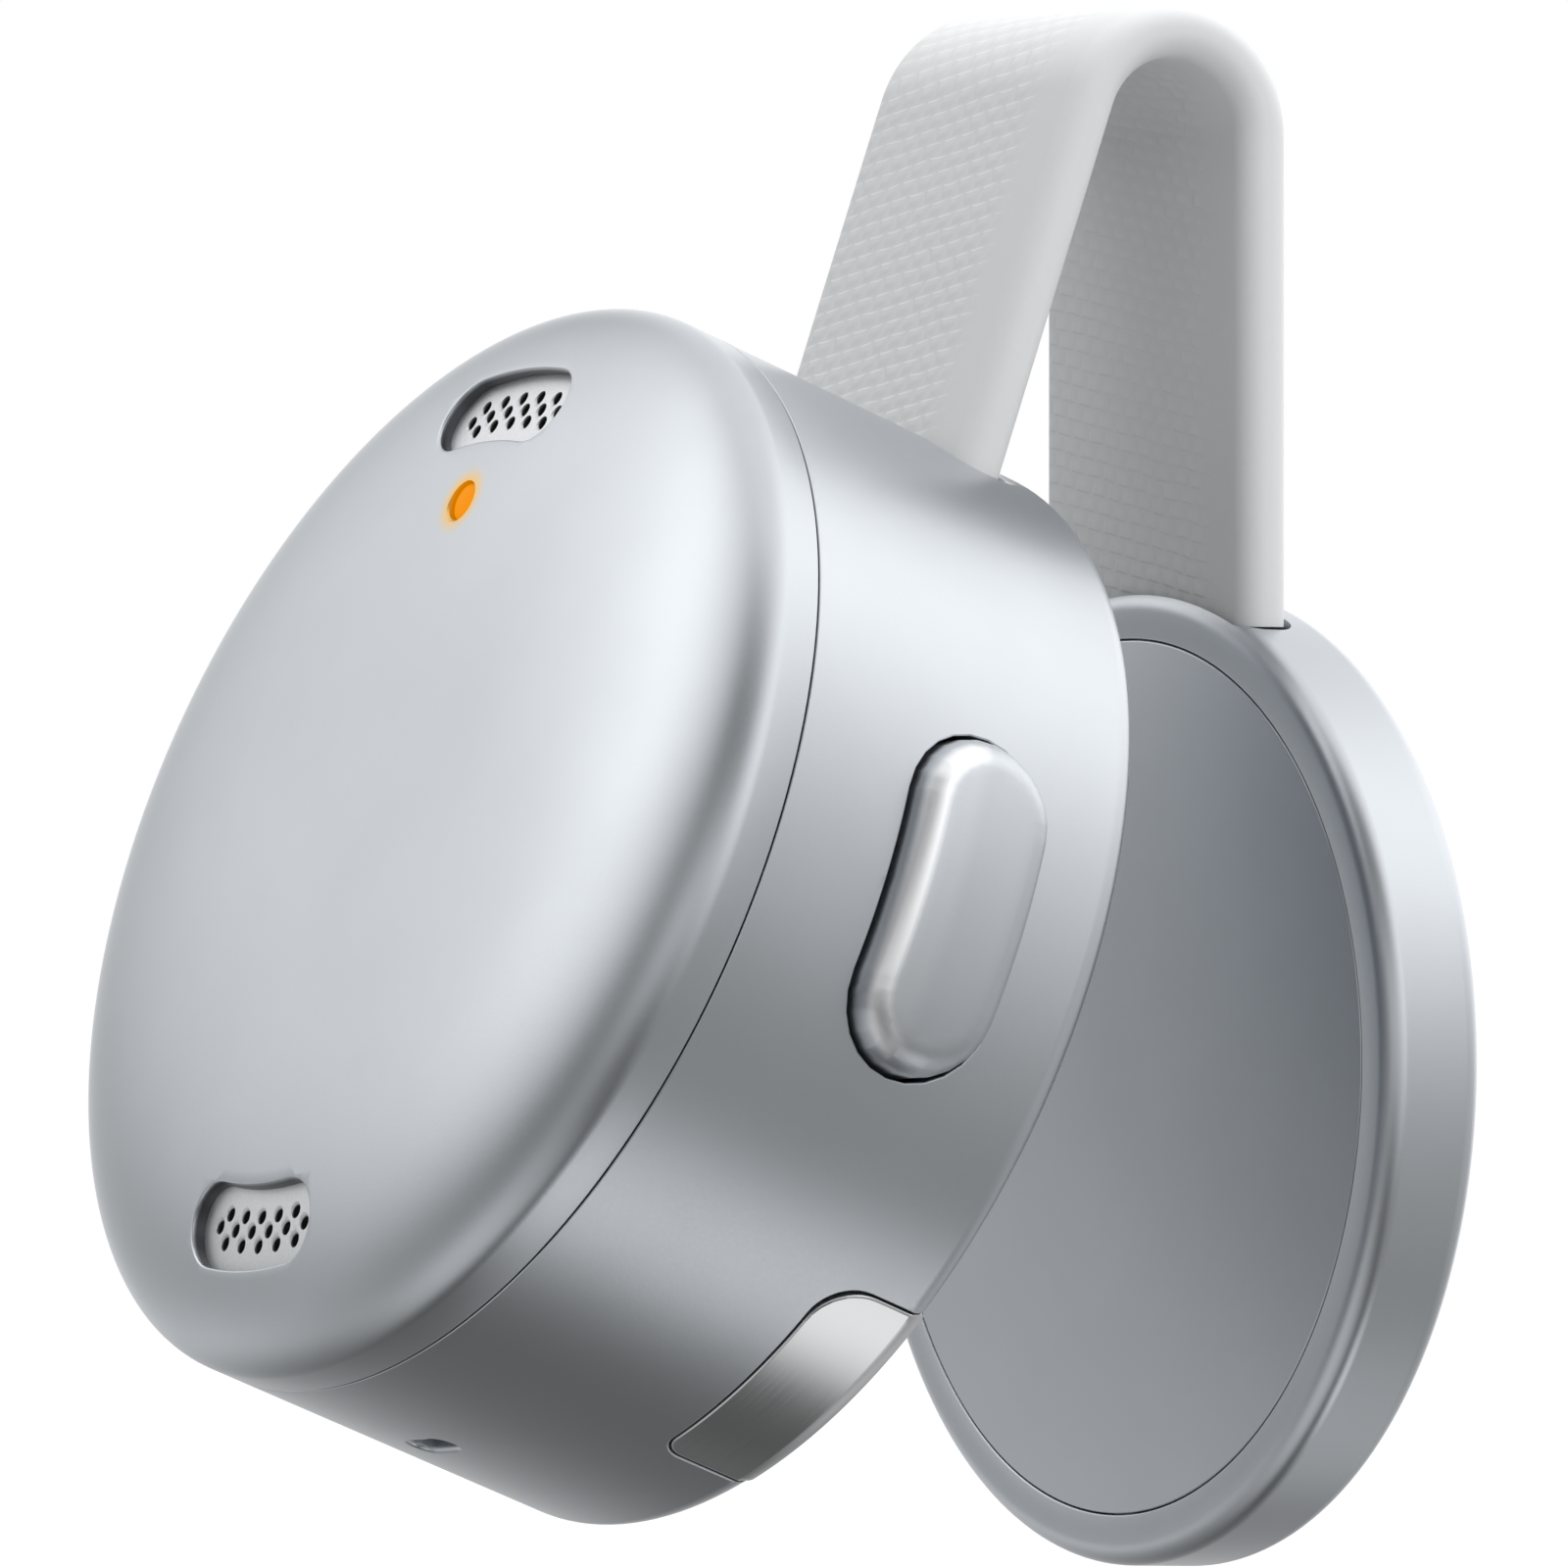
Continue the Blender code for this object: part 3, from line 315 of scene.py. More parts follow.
def loft(bm, rings, triangles=True):
    """Join rings in order and close both ends, with triangles where the ends are bent before they are cut."""
    for first, second in zip(rings, rings[1:]):
        bmesh.ops.bridge_loops(bm, edges=ring_edges(first) + ring_edges(second))
    for ring in (rings[0], rings[-1]):
        ends = bmesh.ops.contextual_create(bm, geom=ring_edges(ring))["faces"]
        if triangles:
            bmesh.ops.triangulate(bm, faces=ends)


def flared(make_ring, depth, lip, steps=4):
    """A cutter of one outline that opens out into a rounded lip at level 0 and ends well above it."""
    bm = bmesh.new()
    stations = [(0.0, -depth), (0.0, -lip)]
    for k in range(1, steps + 1):
        angle = LIP_TURN * k / steps
        stations.append((lip * (1 - cos(angle)), -lip * (1 - sin(angle))))
    grow, level = stations[-1]
    stations.append((grow + LIP_RUN * lip * sin(LIP_TURN), level + LIP_RUN * lip * cos(LIP_TURN)))
    stations.append((stations[-1][0], MM))
    rings = []
    for grow, level in stations:
        ring = make_ring(bm, grow)
        bmesh.ops.translate(bm, verts=ring, vec=(0, 0, level))
        rings.append(ring)
    loft(bm, rings)
    return bm


def slab(bm, ring, bottom, top, edge, segments=5):
    """Raise a flat outline from bottom to top and round its upper edge."""
    face = bmesh.ops.contextual_create(bm, geom=ring_edges(ring))["faces"][0]
    bmesh.ops.translate(bm, verts=ring, vec=(0, 0, bottom))
    grown = bmesh.ops.extrude_face_region(bm, geom=[face])["geom"]
    raised = [item for item in grown if isinstance(item, bmesh.types.BMVert)]
    bmesh.ops.translate(bm, verts=raised, vec=(0, 0, top - bottom))
    rim = ring_edges(raised)
    if edge:
        bmesh.ops.bevel(bm, geom=rim, offset=edge, segments=segments, profile=0.5, affect="EDGES",
                        material=-1)


def slice_up(bm, axis, low, high, spacing):
    """Cut the mesh with evenly spaced planes, so that it can be bent along the axis."""
    count = int((high - low) / spacing)
    for k in range(1, count):
        place = [0.0, 0.0, 0.0]
        normal = [0.0, 0.0, 0.0]
        place[axis] = low + (high - low) * k / count
        normal[axis] = 1.0
        bmesh.ops.bisect_plane(bm, geom=everything(bm), plane_co=place, plane_no=normal)


def wrap_side(bm, radius=BODY_RADIUS):
    """Bend a flat piece along Y round the puck's side: its level 0 comes to lie on the side."""
    for vert in bm.verts:
        vert.co.z += sqrt(radius ** 2 - vert.co.y ** 2)
    return bm


def wrap_face(bm):
    """Lay a flat piece on the crowned face: its level 0 comes to lie on the face."""
    for vert in bm.verts:
        vert.co.z += face_height(hypot(vert.co.x, vert.co.y))
    return bm


def strap_slot(middle, depth, distance, radius):
    """A cutter for one of the strap's legs, whose lip follows a round rim at a distance below the bend."""
    slot = flared(lambda bm, grow: panel_ring(
        bm, -STRAP_WIDTH / 2 - FIT - grow, STRAP_WIDTH / 2 + FIT + grow,
        middle - STRAP_THICKNESS / 2 - FIT - grow, middle + STRAP_THICKNESS / 2 + FIT + grow,
        [SLOT_CORNER + grow] * 4, (24, 1)), depth, SLOT_LIP)
    for vert in slot.verts:
        vert.co.z += -distance + sqrt(radius ** 2 - vert.co.x ** 2)
    return slot


def finish_mesh(name, bm, place, sharp=SHARP):
    """Turn a bmesh into an object at the origin, with its place in its mesh."""
    bm.transform(place)
    bmesh.ops.remove_doubles(bm, verts=bm.verts, dist=MERGE_DISTANCE)
    bmesh.ops.recalc_face_normals(bm, faces=bm.faces)
    if bm.calc_volume(signed=True) < 0:
        bmesh.ops.reverse_faces(bm, faces=bm.faces)
    mesh = bpy.data.meshes.new(name)
    bm.to_mesh(mesh)
    bm.free()
    mesh.shade_smooth()
    mesh.set_sharp_from_angle(angle=radians(sharp))
    piece = bpy.data.objects.new(name, mesh)
    bpy.context.scene.collection.objects.link(piece)
    return piece


def carve(piece, *groups, sharp=SHARP):
    """Take the cutters away from the piece for good, one group after the other.

    The cutters of a group are taken together and don't touch each other.
    """
    for cutters in groups:
        bm = bmesh.new()
        for cutter in cutters:
            bm.from_mesh(cutter.data)
        bm.to_mesh(cutters[0].data)
        bm.free()
        modifier = piece.modifiers.new(cutters[0].name, "BOOLEAN")
        modifier.operation = "DIFFERENCE"
        modifier.solver = "EXACT"
        modifier.object = cutters[0]
    settle(piece)
    for cutter in (cutter for cutters in groups for cutter in cutters):
        bpy.data.objects.remove(cutter, do_unlink=True)
    piece.data.shade_smooth()
    piece.data.set_sharp_from_angle(angle=radians(sharp))
    even_out(piece)


def even_out(piece):
    """Let the large faces rule the normals, so that narrow roundings don't tint the faces beside them."""
    even = piece.modifiers.new("Even Normals", "WEIGHTED_NORMAL")
    even.keep_sharp = True
    even.weight = 80
    settle(piece)


def follow_side(piece, slack=0.004 * MM):
    """Let the faces that lie in the puck's round side shine like one even cylinder."""
    mesh = piece.data
    normals = [corner_normal.vector.copy() for corner_normal in mesh.corner_normals]
    to_puck = LAYOUT.inverted()
    out = {}
    for vert in mesh.vertices:
        place = to_puck @ vert.co
        if hypot(place.x, place.y) > BODY_RADIUS - slack:
            out[vert.index] = LAYOUT.to_3x3() @ Vector((place.x, place.y, 0)).normalized()
    for face in mesh.polygons:
        if all(index in out for index in face.vertices):
            for loop in face.loop_indices:
                normals[loop] = out[mesh.loops[loop].vertex_index]
    mesh.normals_split_custom_set(normals)


def settle(piece):
    """Replace the piece's mesh by the result of its modifiers."""
    graph = bpy.context.evaluated_depsgraph_get()
    made = bpy.data.meshes.new_from_object(piece.evaluated_get(graph), preserve_all_data_layers=True,
                                           depsgraph=graph)
    old = piece.data
    piece.modifiers.clear()
    piece.data = made
    made.name = piece.name
    bpy.data.meshes.remove(old)


def dress(piece, look, body, slot, *nodes):
    """Give the piece its finish, tie it to its body and let it stand for CAD nodes."""
    piece.data.materials.clear()
    piece.data.materials.append(look)
    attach(piece, body)
    if nodes:
        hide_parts(*nodes)
    return piece


# Finishes -------------------------------------------------------------------------------------------------

class Wire:
    """A shader socket that takes part in arithmetic, such as 2 * a + b."""

    def __init__(self, tree, socket=None):
        self.tree = tree
        self.socket = socket

    def node(self, kind, values, output=0, **settings):
        """Any other node; values maps its inputs to wires or constants."""
        made = self.tree.nodes.new("ShaderNode" + kind)
        for name, value in settings.items():
            setattr(made, name, value)
        for place, value in values.items():
            if isinstance(value, Wire):
                self.tree.links.new(value.socket, made.inputs[place])
            else:
                made.inputs[place].default_value = value
        return Wire(self.tree, made.outputs[output])

    def math(self, operation, *values):
        return self.node("Math", dict(enumerate(values)), operation=operation)

    def __add__(self, other):
        return self.math("ADD", self, other)

    def __sub__(self, other):
        return self.math("SUBTRACT", self, other)

    def __rsub__(self, other):
        return self.math("SUBTRACT", other, self)

    def __mul__(self, other):
        return self.math("MULTIPLY", self, other)

    def __truediv__(self, other):
        return self.math("DIVIDE", self, other)

    def __pow__(self, other):
        return self.math("POWER", self, other)

    __radd__ = __add__
    __rmul__ = __mul__

    def ramp(self, low, high):
        """0 below low, 1 above high, and smooth between them; high may be the lower one."""
        return self.node("MapRange", {0: self, 1: low, 2: high, 3: 0.0, 4: 1.0},
                         interpolation_type="SMOOTHSTEP")

    def noise(self, scale, detail=2.0, roughness=0.5):
        """Noise over a place, from 0 to 1."""
        return self.node("TexNoise", {"Vector": self, "Scale": scale, "Detail": detail,
                                      "Roughness": roughness})

    def blend(self, first, second):
        """A colour between two, for a wire that runs from 0 to 1."""
        first = first if isinstance(first, Wire) else (*first, 1.0)
        second = second if isinstance(second, Wire) else (*second, 1.0)
        return self.node("Mix", {0: self, 6: first, 7: second}, 2, data_type="RGBA")

    def away(self, point):
        """Distance from a fixed point, for a place."""
        return self.node("VectorMath", {0: self, 1: tuple(point)}, "Value", operation="DISTANCE")

    def into(self, shader, name):
        self.tree.links.new(self.socket, shader.inputs[name])
        return self


def start_look(name, roughness, metallic=0.0):
    """A material with its shader and the wire of its place on the object."""
    material = bpy.data.materials.new(name)
    material.use_nodes = True
    shader = material.node_tree.nodes["Principled BSDF"]
    shader.inputs["Roughness"].default_value = roughness
    shader.inputs["Metallic"].default_value = metallic
    place = Wire(material.node_tree).node("TexCoord", {}, "Object")
    return material, shader, place


def raise_bump(shader, height, strength, distance):
    bump = height.node("Bump", {"Height": height, "Strength": strength, "Distance": distance})
    bump.into(shader, "Normal")


def shade(colour, factor):
    return tuple(channel * factor for channel in colour)


def in_puck(place):
    """Height above the puck's rear face and distance from its axis."""
    inverse = LAYOUT.inverted()
    local = place.node("Mapping", {"Vector": place, "Location": inverse.to_translation(),
                                   "Rotation": inverse.to_euler()})
    flat = local.node("VectorMath", {0: local, 1: (1.0, 1.0, 0.0)}, operation="MULTIPLY")
    return local.node("SeparateXYZ", {0: local}, "Z"), flat.away((0, 0, 0))


def below_face(place):
    """Depth below the crowned front face, and the distance from its centre as a share of the radius."""
    height, distance = in_puck(place)
    reach = distance / BODY_RADIUS
    crown = (1.0 - reach.math("MINIMUM", reach, 1.0) ** FACE_POWER) ** 0.5
    return BODY_DEPTH - FACE_DROP + FACE_DROP * crown - height, reach


def blasted_aluminium(name, colour, roughness=0.36, front=False, key=False):
    """Bead-blasted and anodised: a fine grain in the surface and a slight cloudiness in the tone.

    On the front the walls of the pockets carry painted shade that deepens with depth, and the metal round the
    status light carries a painted orange glow in its colour and emission.
    On the key the edge towards the front carries a painted highlight.
    """
    material, shader, place = start_look(name, roughness, 1.0)
    grain = place.noise(9500, 2.0, 0.6)
    clouds = place.noise(260, 3.0)
    tone = 0.75 * clouds + 0.25 * grain
    tint = tone.ramp(0.25, 0.75).blend(shade(colour, 0.975), shade(colour, 1.015))
    (roughness - 0.03 + 0.06 * grain).into(shader, "Roughness")
    raise_bump(shader, grain, 0.22, 0.006 * MM)
    if front:
        depth, reach = below_face(place)
        # Painted shade: the pocket walls below the crowned face turn darker with depth.
        painted_wall_shade = depth.ramp(0.03 * MM, 0.17 * MM) * reach.ramp(0.93, 0.90)
        tint = painted_wall_shade.blend(tint, shade(colour, 0.22))
        # Painted glow: an orange tint and a faint emission on the metal round the status light, standing in
        # for its spilled light.
        spot = LAYOUT @ Vector((0, LIGHT_PLACE, face_height(LIGHT_PLACE)))
        painted_glow = place.away(spot).ramp(1.25 * MM, 0.55 * MM) ** 1.5
        tint = (0.8 * painted_glow).blend(tint, (0.66, 0.42, 0.10))
        painted_glow.blend((0, 0, 0), (0.20, 0.10, 0.0)).into(shader, "Emission Color")
        shader.inputs["Emission Strength"].default_value = 1.0
    if key:
        # Painted highlight: the key's fillet towards the front is near white in colour.
        level, distance = in_puck(place)
        depth = BODY_RADIUS + KEY_PROUD - distance
        rim = depth.ramp(-0.01 * MM, 0.03 * MM) * depth.ramp(0.45 * MM, 0.2 * MM)
        rim = rim * level.ramp(KEY_LEVEL + 0.2 * MM, KEY_LEVEL + 0.9 * MM)
        tint = rim.blend(tint, (0.97, 0.98, 1.0))
    tint.into(shader, "Base Color")
    return material


def polished_aluminium(name, colour):
    """Mirror-cut metal under a clear anodised layer, with faint polishing lines along the puck's side."""
    material, shader, place = start_look(name, 0.14, 1.0)
    turned = place.node("Mapping", {"Vector": place, "Rotation": LAYOUT.inverted().to_euler()}, 0)
    lines = turned.node("Mapping", {"Vector": turned, "Scale": (300.0, 300.0, 26000.0)}, 0).noise(1.0, 2.0)
    lines.ramp(0.2, 0.8).blend(shade(colour, 0.97), shade(colour, 1.02)).into(shader, "Base Color")
    (0.21 + 0.07 * lines).into(shader, "Roughness")
    raise_bump(shader, lines, 0.08, 0.004 * MM)
    return material


def grille_metal(name, colour):
    """Fine-blasted steel plate, with painted shade inside its holes."""
    material, shader, place = start_look(name, 0.48, 0.85)
    grain = place.noise(14000, 2.0)
    tint = grain.ramp(0.2, 0.8).blend(shade(colour, 0.94), shade(colour, 1.04))
    # Painted shade: below the plate's top, inside the holes, the colour falls to nearly black.
    depth = below_face(place)[0]
    holes = depth.ramp(GRILLE_RECESS + 0.02 * MM, GRILLE_RECESS + 0.1 * MM)
    holes.blend(tint, shade(colour, 0.1)).into(shader, "Base Color")
    raise_bump(shader, grain, 0.25, 0.005 * MM)
    return material


def twill_elastomer(name, colour):
    """Moulded elastomer with an embossed twill of short slanted bars, smooth along both borders."""
    material, shader, place = start_look(name, 0.62)
    across = place.node("SeparateXYZ", {0: place}, "X")
    along = place.node("Attribute", {}, "Fac", attribute_name="along")
    drift = place.noise(700, 2.0) - 0.5
    rows = along / TWILL_ROW + across * (0.28 / TWILL_BAR) + 0.35 * drift
    row = rows.math("FLOOR", rows)
    height_in_row = rows.math("FRACT", rows)
    cells = across / TWILL_BAR + 0.37 * row + 0.6 * drift
    place_in_cell = cells.math("FRACT", cells)
    bar = place_in_cell.ramp(0.0, 0.12) * place_in_cell.ramp(0.95, 0.45)
    swell = height_in_row.ramp(0.0, 0.15) * height_in_row.ramp(1.0, 0.35)
    border = across.ramp(3.9 * MM, 2.6 * MM) * across.ramp(-5.3 * MM, -4.8 * MM)
    weave = bar * swell * border
    dust = place.noise(5200, 3.0, 0.6)
    tone = 0.6 * weave + 0.4 * dust
    tone.blend(shade(colour, 0.96), shade(colour, 1.02)).into(shader, "Base Color")
    (0.66 - 0.08 * dust).into(shader, "Roughness")
    raise_bump(shader, weave + 0.08 * dust, 0.34, 0.07 * MM)
    shader.inputs["Sheen Weight"].default_value = 0.15
    return material


def status_light(name, colour):
    """Glowing light pipe, a little darker towards its rim."""
    material, shader, place = start_look(name, 0.25)
    spot = LAYOUT @ Vector((0, LIGHT_PLACE, face_height(LIGHT_PLACE)))
    edge = place.away(spot).ramp(0.4 * MM, 0.75 * MM)
    haze = place.noise(2500, 2.0)
    (edge * 0.8 + 0.1 * haze).blend(colour, shade(colour, 0.72)).into(shader, "Emission Color")
    shader.inputs["Emission Strength"].default_value = 0.86
    shader.inputs["Base Color"].default_value = (*shade(colour, 0.1), 1.0)
    shader.inputs["Specular IOR Level"].default_value = 0.03
    return material


def worked_metal(name, colour, roughness, scale):
    """Rolled, plated or pressed metal: fine lines and slight stains."""
    material, shader, place = start_look(name, roughness, 1.0)
    grain = place.noise(scale, 4.0, 0.6)
    stains = place.noise(scale / 12, 2.0)
    (0.5 * grain + 0.5 * stains).ramp(0.2, 0.8).blend(shade(colour, 0.85), shade(colour, 1.1)).into(
        shader, "Base Color")
    (roughness - 0.08 + 0.16 * stains).into(shader, "Roughness")
    raise_bump(shader, grain, 0.15, 0.01 * MM)
    return material


def moulded(name, colour, roughness, scale):
    """Moulded rubber, plastic or foam with a fine grain."""
    material, shader, place = start_look(name, roughness)
    grain = place.noise(scale, 3.0, 0.6)
    grain.ramp(0.2, 0.8).blend(shade(colour, 0.8), shade(colour, 1.25)).into(shader, "Base Color")
    (roughness - 0.06 + 0.12 * grain).into(shader, "Roughness")
    raise_bump(shader, grain, 0.35, 0.02 * MM)
    return material


def circuit_board(name, colour):
    """Solder mask over copper tracks, with small tinned pads."""
    material, shader, place = start_look(name, 0.35)
    cells = place.node("TexVoronoi", {"Vector": place, "Scale": 900.0}, "Distance", distance="MANHATTAN",
                       feature="F1")
    dots = place.node("TexVoronoi", {"Vector": place, "Scale": 620.0}, "Distance", feature="F1")
    pads = dots.ramp(0.16, 0.12)
    tracks = cells.math("FRACT", cells * 5.0).ramp(0.42, 0.52)
    masked = tracks.blend(colour, shade(colour, 1.9))
    pads.blend(masked, (0.62, 0.60, 0.55)).into(shader, "Base Color")
    pads.into(shader, "Metallic")
    raise_bump(shader, tracks + pads, 0.3, 0.02 * MM)
    return material


def pale_floor(name, colour):
    """Plain pale floor with a barely visible mottle."""
    material, shader, place = start_look(name, 0.9)
    place.noise(40, 3.0).blend(shade(colour, 0.44), shade(colour, 0.45)).into(shader, "Base Color")
    shader.inputs["Specular IOR Level"].default_value = 0.0
    shader.inputs["Emission Color"].default_value = (*colour, 1.0)
    (0.65 * place.node("LightPath", {}, "Is Camera Ray")).into(shader, "Emission Strength")
    return material


# Settings -------------------------------------------------------------------------------------------------

class RecorderSizes(bpy.types.PropertyGroup):
    """Edges, holes and borders of the fine meshes."""

    seam_edge: FloatProperty(name="Seam Edge", description="Radius of the edges along the puck's seam",
                             default=0.05 * MM, unit="LENGTH", precision=5)
    pocket_lip: FloatProperty(name="Pocket Lip", description="Radius of the lip round each grille pocket",
                              default=0.08 * MM, unit="LENGTH", precision=5)
    key_edge: FloatProperty(name="Key Edge", description="Radius of the key's upper edge",
                            default=0.78 * MM, unit="LENGTH", precision=5)
    hole_radius: FloatProperty(name="Hole Radius", description="Radius of the microphone holes",
                               default=0.2 * MM, unit="LENGTH", precision=5)
    strap_border: FloatProperty(name="Strap Border", description="Radius of the strap's rounded borders",
                                default=0.7 * MM, unit="LENGTH", precision=5)


class RecorderColours(bpy.types.PropertyGroup):
    """Colours of the finishes, as linear values."""

    body: FloatVectorProperty(name="Body", description="Blasted aluminium of puck and disc", subtype="COLOR",
                              default=(0.608, 0.636, 0.668), min=0, max=1)
    panel: FloatVectorProperty(name="Panel", description="Polished panel over the socket", subtype="COLOR",
                               default=(0.70, 0.71, 0.72), min=0, max=1)
    grille: FloatVectorProperty(name="Grille", description="Microphone grilles", subtype="COLOR",
                                default=(0.78, 0.79, 0.81), min=0, max=1)
    strap: FloatVectorProperty(name="Strap", description="Elastomer strap", subtype="COLOR",
                               default=(0.63, 0.64, 0.647), min=0, max=1)
    light: FloatVectorProperty(name="Light", description="Status light", subtype="COLOR",
                               default=(1.0, 0.32, 0.0), min=0, max=1)
    floor: FloatVectorProperty(name="Floor", description="Studio floor", subtype="COLOR",
                               default=(0.95, 0.95, 0.95), min=0, max=1)


# Pieces ---------------------------------------------------------------------------------------------------

class RECORDER_OT_front_cap(bpy.types.Operator):
    """Crowned front cap with two grille pockets and the light's hole"""

    bl_idname = "recorder.front_cap"
    bl_label = "Front Cap"

    def execute(self, context):
        sizes = context.scene.recorder_sizes
        edge = sizes.seam_edge
        seam = SEAM_LEVEL + SEAM_GAP / 2
        profile = face_points(0.0, 44) + corner((BODY_RADIUS - edge, seam + edge), edge, 0, -pi / 2)
        profile += [(SPIGOT_OUTER, seam), (SPIGOT_OUTER, SEAM_LEVEL - SPIGOT_DEPTH)]
        profile += [(SPIGOT_INNER, SEAM_LEVEL - SPIGOT_DEPTH),
                    (SPIGOT_INNER, face_height(SPIGOT_INNER, WALL))]
        profile += [point for point in face_points(WALL, 16)[::-1] if point[0] < SPIGOT_INNER]
        cap = finish_mesh("front_cap", lathe(profile), LAYOUT)
        cutters, rebates = [], []
        for place in (TOP_GRILLE, BOTTOM_GRILLE):
            pocket = flared(lambda bm, grow: kidney_ring(bm, GRILLE_HALF_WIDTH + grow), POCKET_DEPTH,
                            sizes.pocket_lip)
            cutters.append(finish_mesh("pocket", wrap_face(pocket), place))
            rebate = bmesh.new()
            slab(rebate, kidney_ring(rebate, GRILLE_HALF_WIDTH + GRILLE_FLANGE + FIT), -REBATE_DEPTH,
                 -GRILLE_RECESS, 0)
            slice_up(rebate, 0, -4 * MM, 4 * MM, 0.5 * MM)
            rebates.append(finish_mesh("rebate", wrap_face(rebate), place))
        rim = LIGHT_HOLE_RIM
        level = face_height(LIGHT_PLACE)
        bottom = level - LIGHT_HOLE_REACH
        hole = [(0, bottom), (LIGHT_RADIUS, bottom), (LIGHT_RADIUS, level - rim)]
        hole += [(LIGHT_RADIUS + 3 * rim, level + 2 * rim), (0, level + 2 * rim)]
        cutters.append(finish_mesh("light_hole", lathe(hole, 48, centre=(0, LIGHT_PLACE)), LAYOUT))
        carve(cap, cutters, rebates)
        # This material carries painted shade in the pocket walls and a painted glow round the status light.
        look = blasted_aluminium("Puck Cap Aluminium", context.scene.recorder_colours.body, front=True)
        dress(cap, look, "recorder", "aluminium_body", "front_shell")
        return {"FINISHED"}


class RECORDER_OT_rear_cup(bpy.types.Operator):
    """Rear cup with the key's opening, the door's notch, the vent and the strap's slot"""

    bl_idname = "recorder.rear_cup"
    bl_label = "Rear Cup"

    def execute(self, context):
        edge = context.scene.recorder_sizes.seam_edge
        seam = SEAM_LEVEL - SEAM_GAP / 2
        inner = BODY_RADIUS - WALL
        profile = [(0, 0)] + corner((BODY_RADIUS - REAR_FILLET, REAR_FILLET), REAR_FILLET, -pi / 2, 0, 12)
        profile += [(BODY_RADIUS, REAR_FILLET + (seam - edge - REAR_FILLET) * k / 9) for k in range(1, 9)]
        profile += corner((BODY_RADIUS - edge, seam - edge), edge, 0, pi / 2)
        profile += [(inner, seam), (inner, FLOOR), (0, FLOOR)]
        cup = finish_mesh("rear_cup", lathe(profile), LAYOUT)

        key = flared(lambda bm, grow: pill_ring(bm, KEY_LENGTH, KEY_WIDTH, KEY_GAP + grow),
                     KEY_OPENING_DEPTH, KEY_OPENING_LIP)
        vent = flared(lambda bm, grow: pill_ring(bm, VENT_LENGTH, VENT_WIDTH, grow, 12, 8),
                      VENT_DEPTH, VENT_LIP)
        side = DOOR_LENGTH / 2
        radii = (0, 0, DOOR_HINGE_CORNER - SWING_ROOM, DOOR_FREE_CORNER)

        def notch_ring(bm, grow):
            rounded = [radius + grow if radius else 0 for radius in radii]
            return panel_ring(bm, -DOOR_HEIGHT - grow, NOTCH_OVERRUN, -side - grow, side + grow, rounded,
                              (8, 20))

        notch = flared(notch_ring, NOTCH_DEPTH, NOTCH_LIP)
        slot = strap_slot(-CROWN_RADIUS, PUCK_SLOT_DEPTH, PUCK_DISTANCE, BODY_RADIUS)
        carve(cup, [
            finish_mesh("key_opening", wrap_side(key), on_side(pi / 2, KEY_LEVEL)),
            finish_mesh("vent_hole", wrap_side(vent), on_side(VENT_ANGLE, VENT_LEVEL)),
            finish_mesh("door_notch", wrap_side(notch), on_side(DOOR_ANGLE, 0.0)),
            finish_mesh("strap_slot", slot, FRONT_LEG),
        ])
        follow_side(cup)
        look = blasted_aluminium("Puck Cup Aluminium", context.scene.recorder_colours.body)
        dress(cup, look, "recorder", "aluminium_body", "rear_housing")
        return {"FINISHED"}


class RECORDER_OT_grilles(bpy.types.Operator):
    """Two perforated plates in the face's pockets"""

    bl_idname = "recorder.grilles"
    bl_label = "Grilles"

    def execute(self, context):
        look = grille_metal("Grille Steel", context.scene.recorder_colours.grille)
        radius = context.scene.recorder_sizes.hole_radius
        for name, place in (("top", TOP_GRILLE), ("bottom", BOTTOM_GRILLE)):
            plate = bmesh.new()
            slab(plate, kidney_ring(plate, GRILLE_HALF_WIDTH + GRILLE_FLANGE),
                 -GRILLE_RECESS - GRILLE_THICKNESS, -GRILLE_RECESS, 0)
            slice_up(plate, 0, -5 * MM, 5 * MM, 0.25 * MM)
            slice_up(plate, 1, GRILLE_RADIUS - 2.5 * MM, GRILLE_RADIUS + 2.5 * MM, 0.25 * MM)
            grille = finish_mesh("grille_plate_" + name, wrap_face(plate), place)
            holes = bmesh.new()
            for row, count in enumerate(GRILLE_ROWS):
                reach = GRILLE_RADIUS + (row - 1) * GRILLE_ROW_SPACING
                for number in range(count):
                    angle = (number - (count - 1) / 2) * GRILLE_PITCH / GRILLE_RADIUS
                    top = face_height(reach) - GRILLE_RECESS
                    profile = [(0, top - HOLE_DEPTH), (radius, top - HOLE_DEPTH), (radius, top - HOLE_EDGE),
                               (radius + HOLE_FLARE, top + HOLE_RISE), (0, top + HOLE_RISE)]
                    lathe(profile, 20, holes, (reach * sin(angle), reach * cos(angle)))
            carve(grille, [finish_mesh("grille_holes", holes, place)])
            dress(grille, look, "recorder", "grille_metal", "grille_" + name)
        return {"FINISHED"}


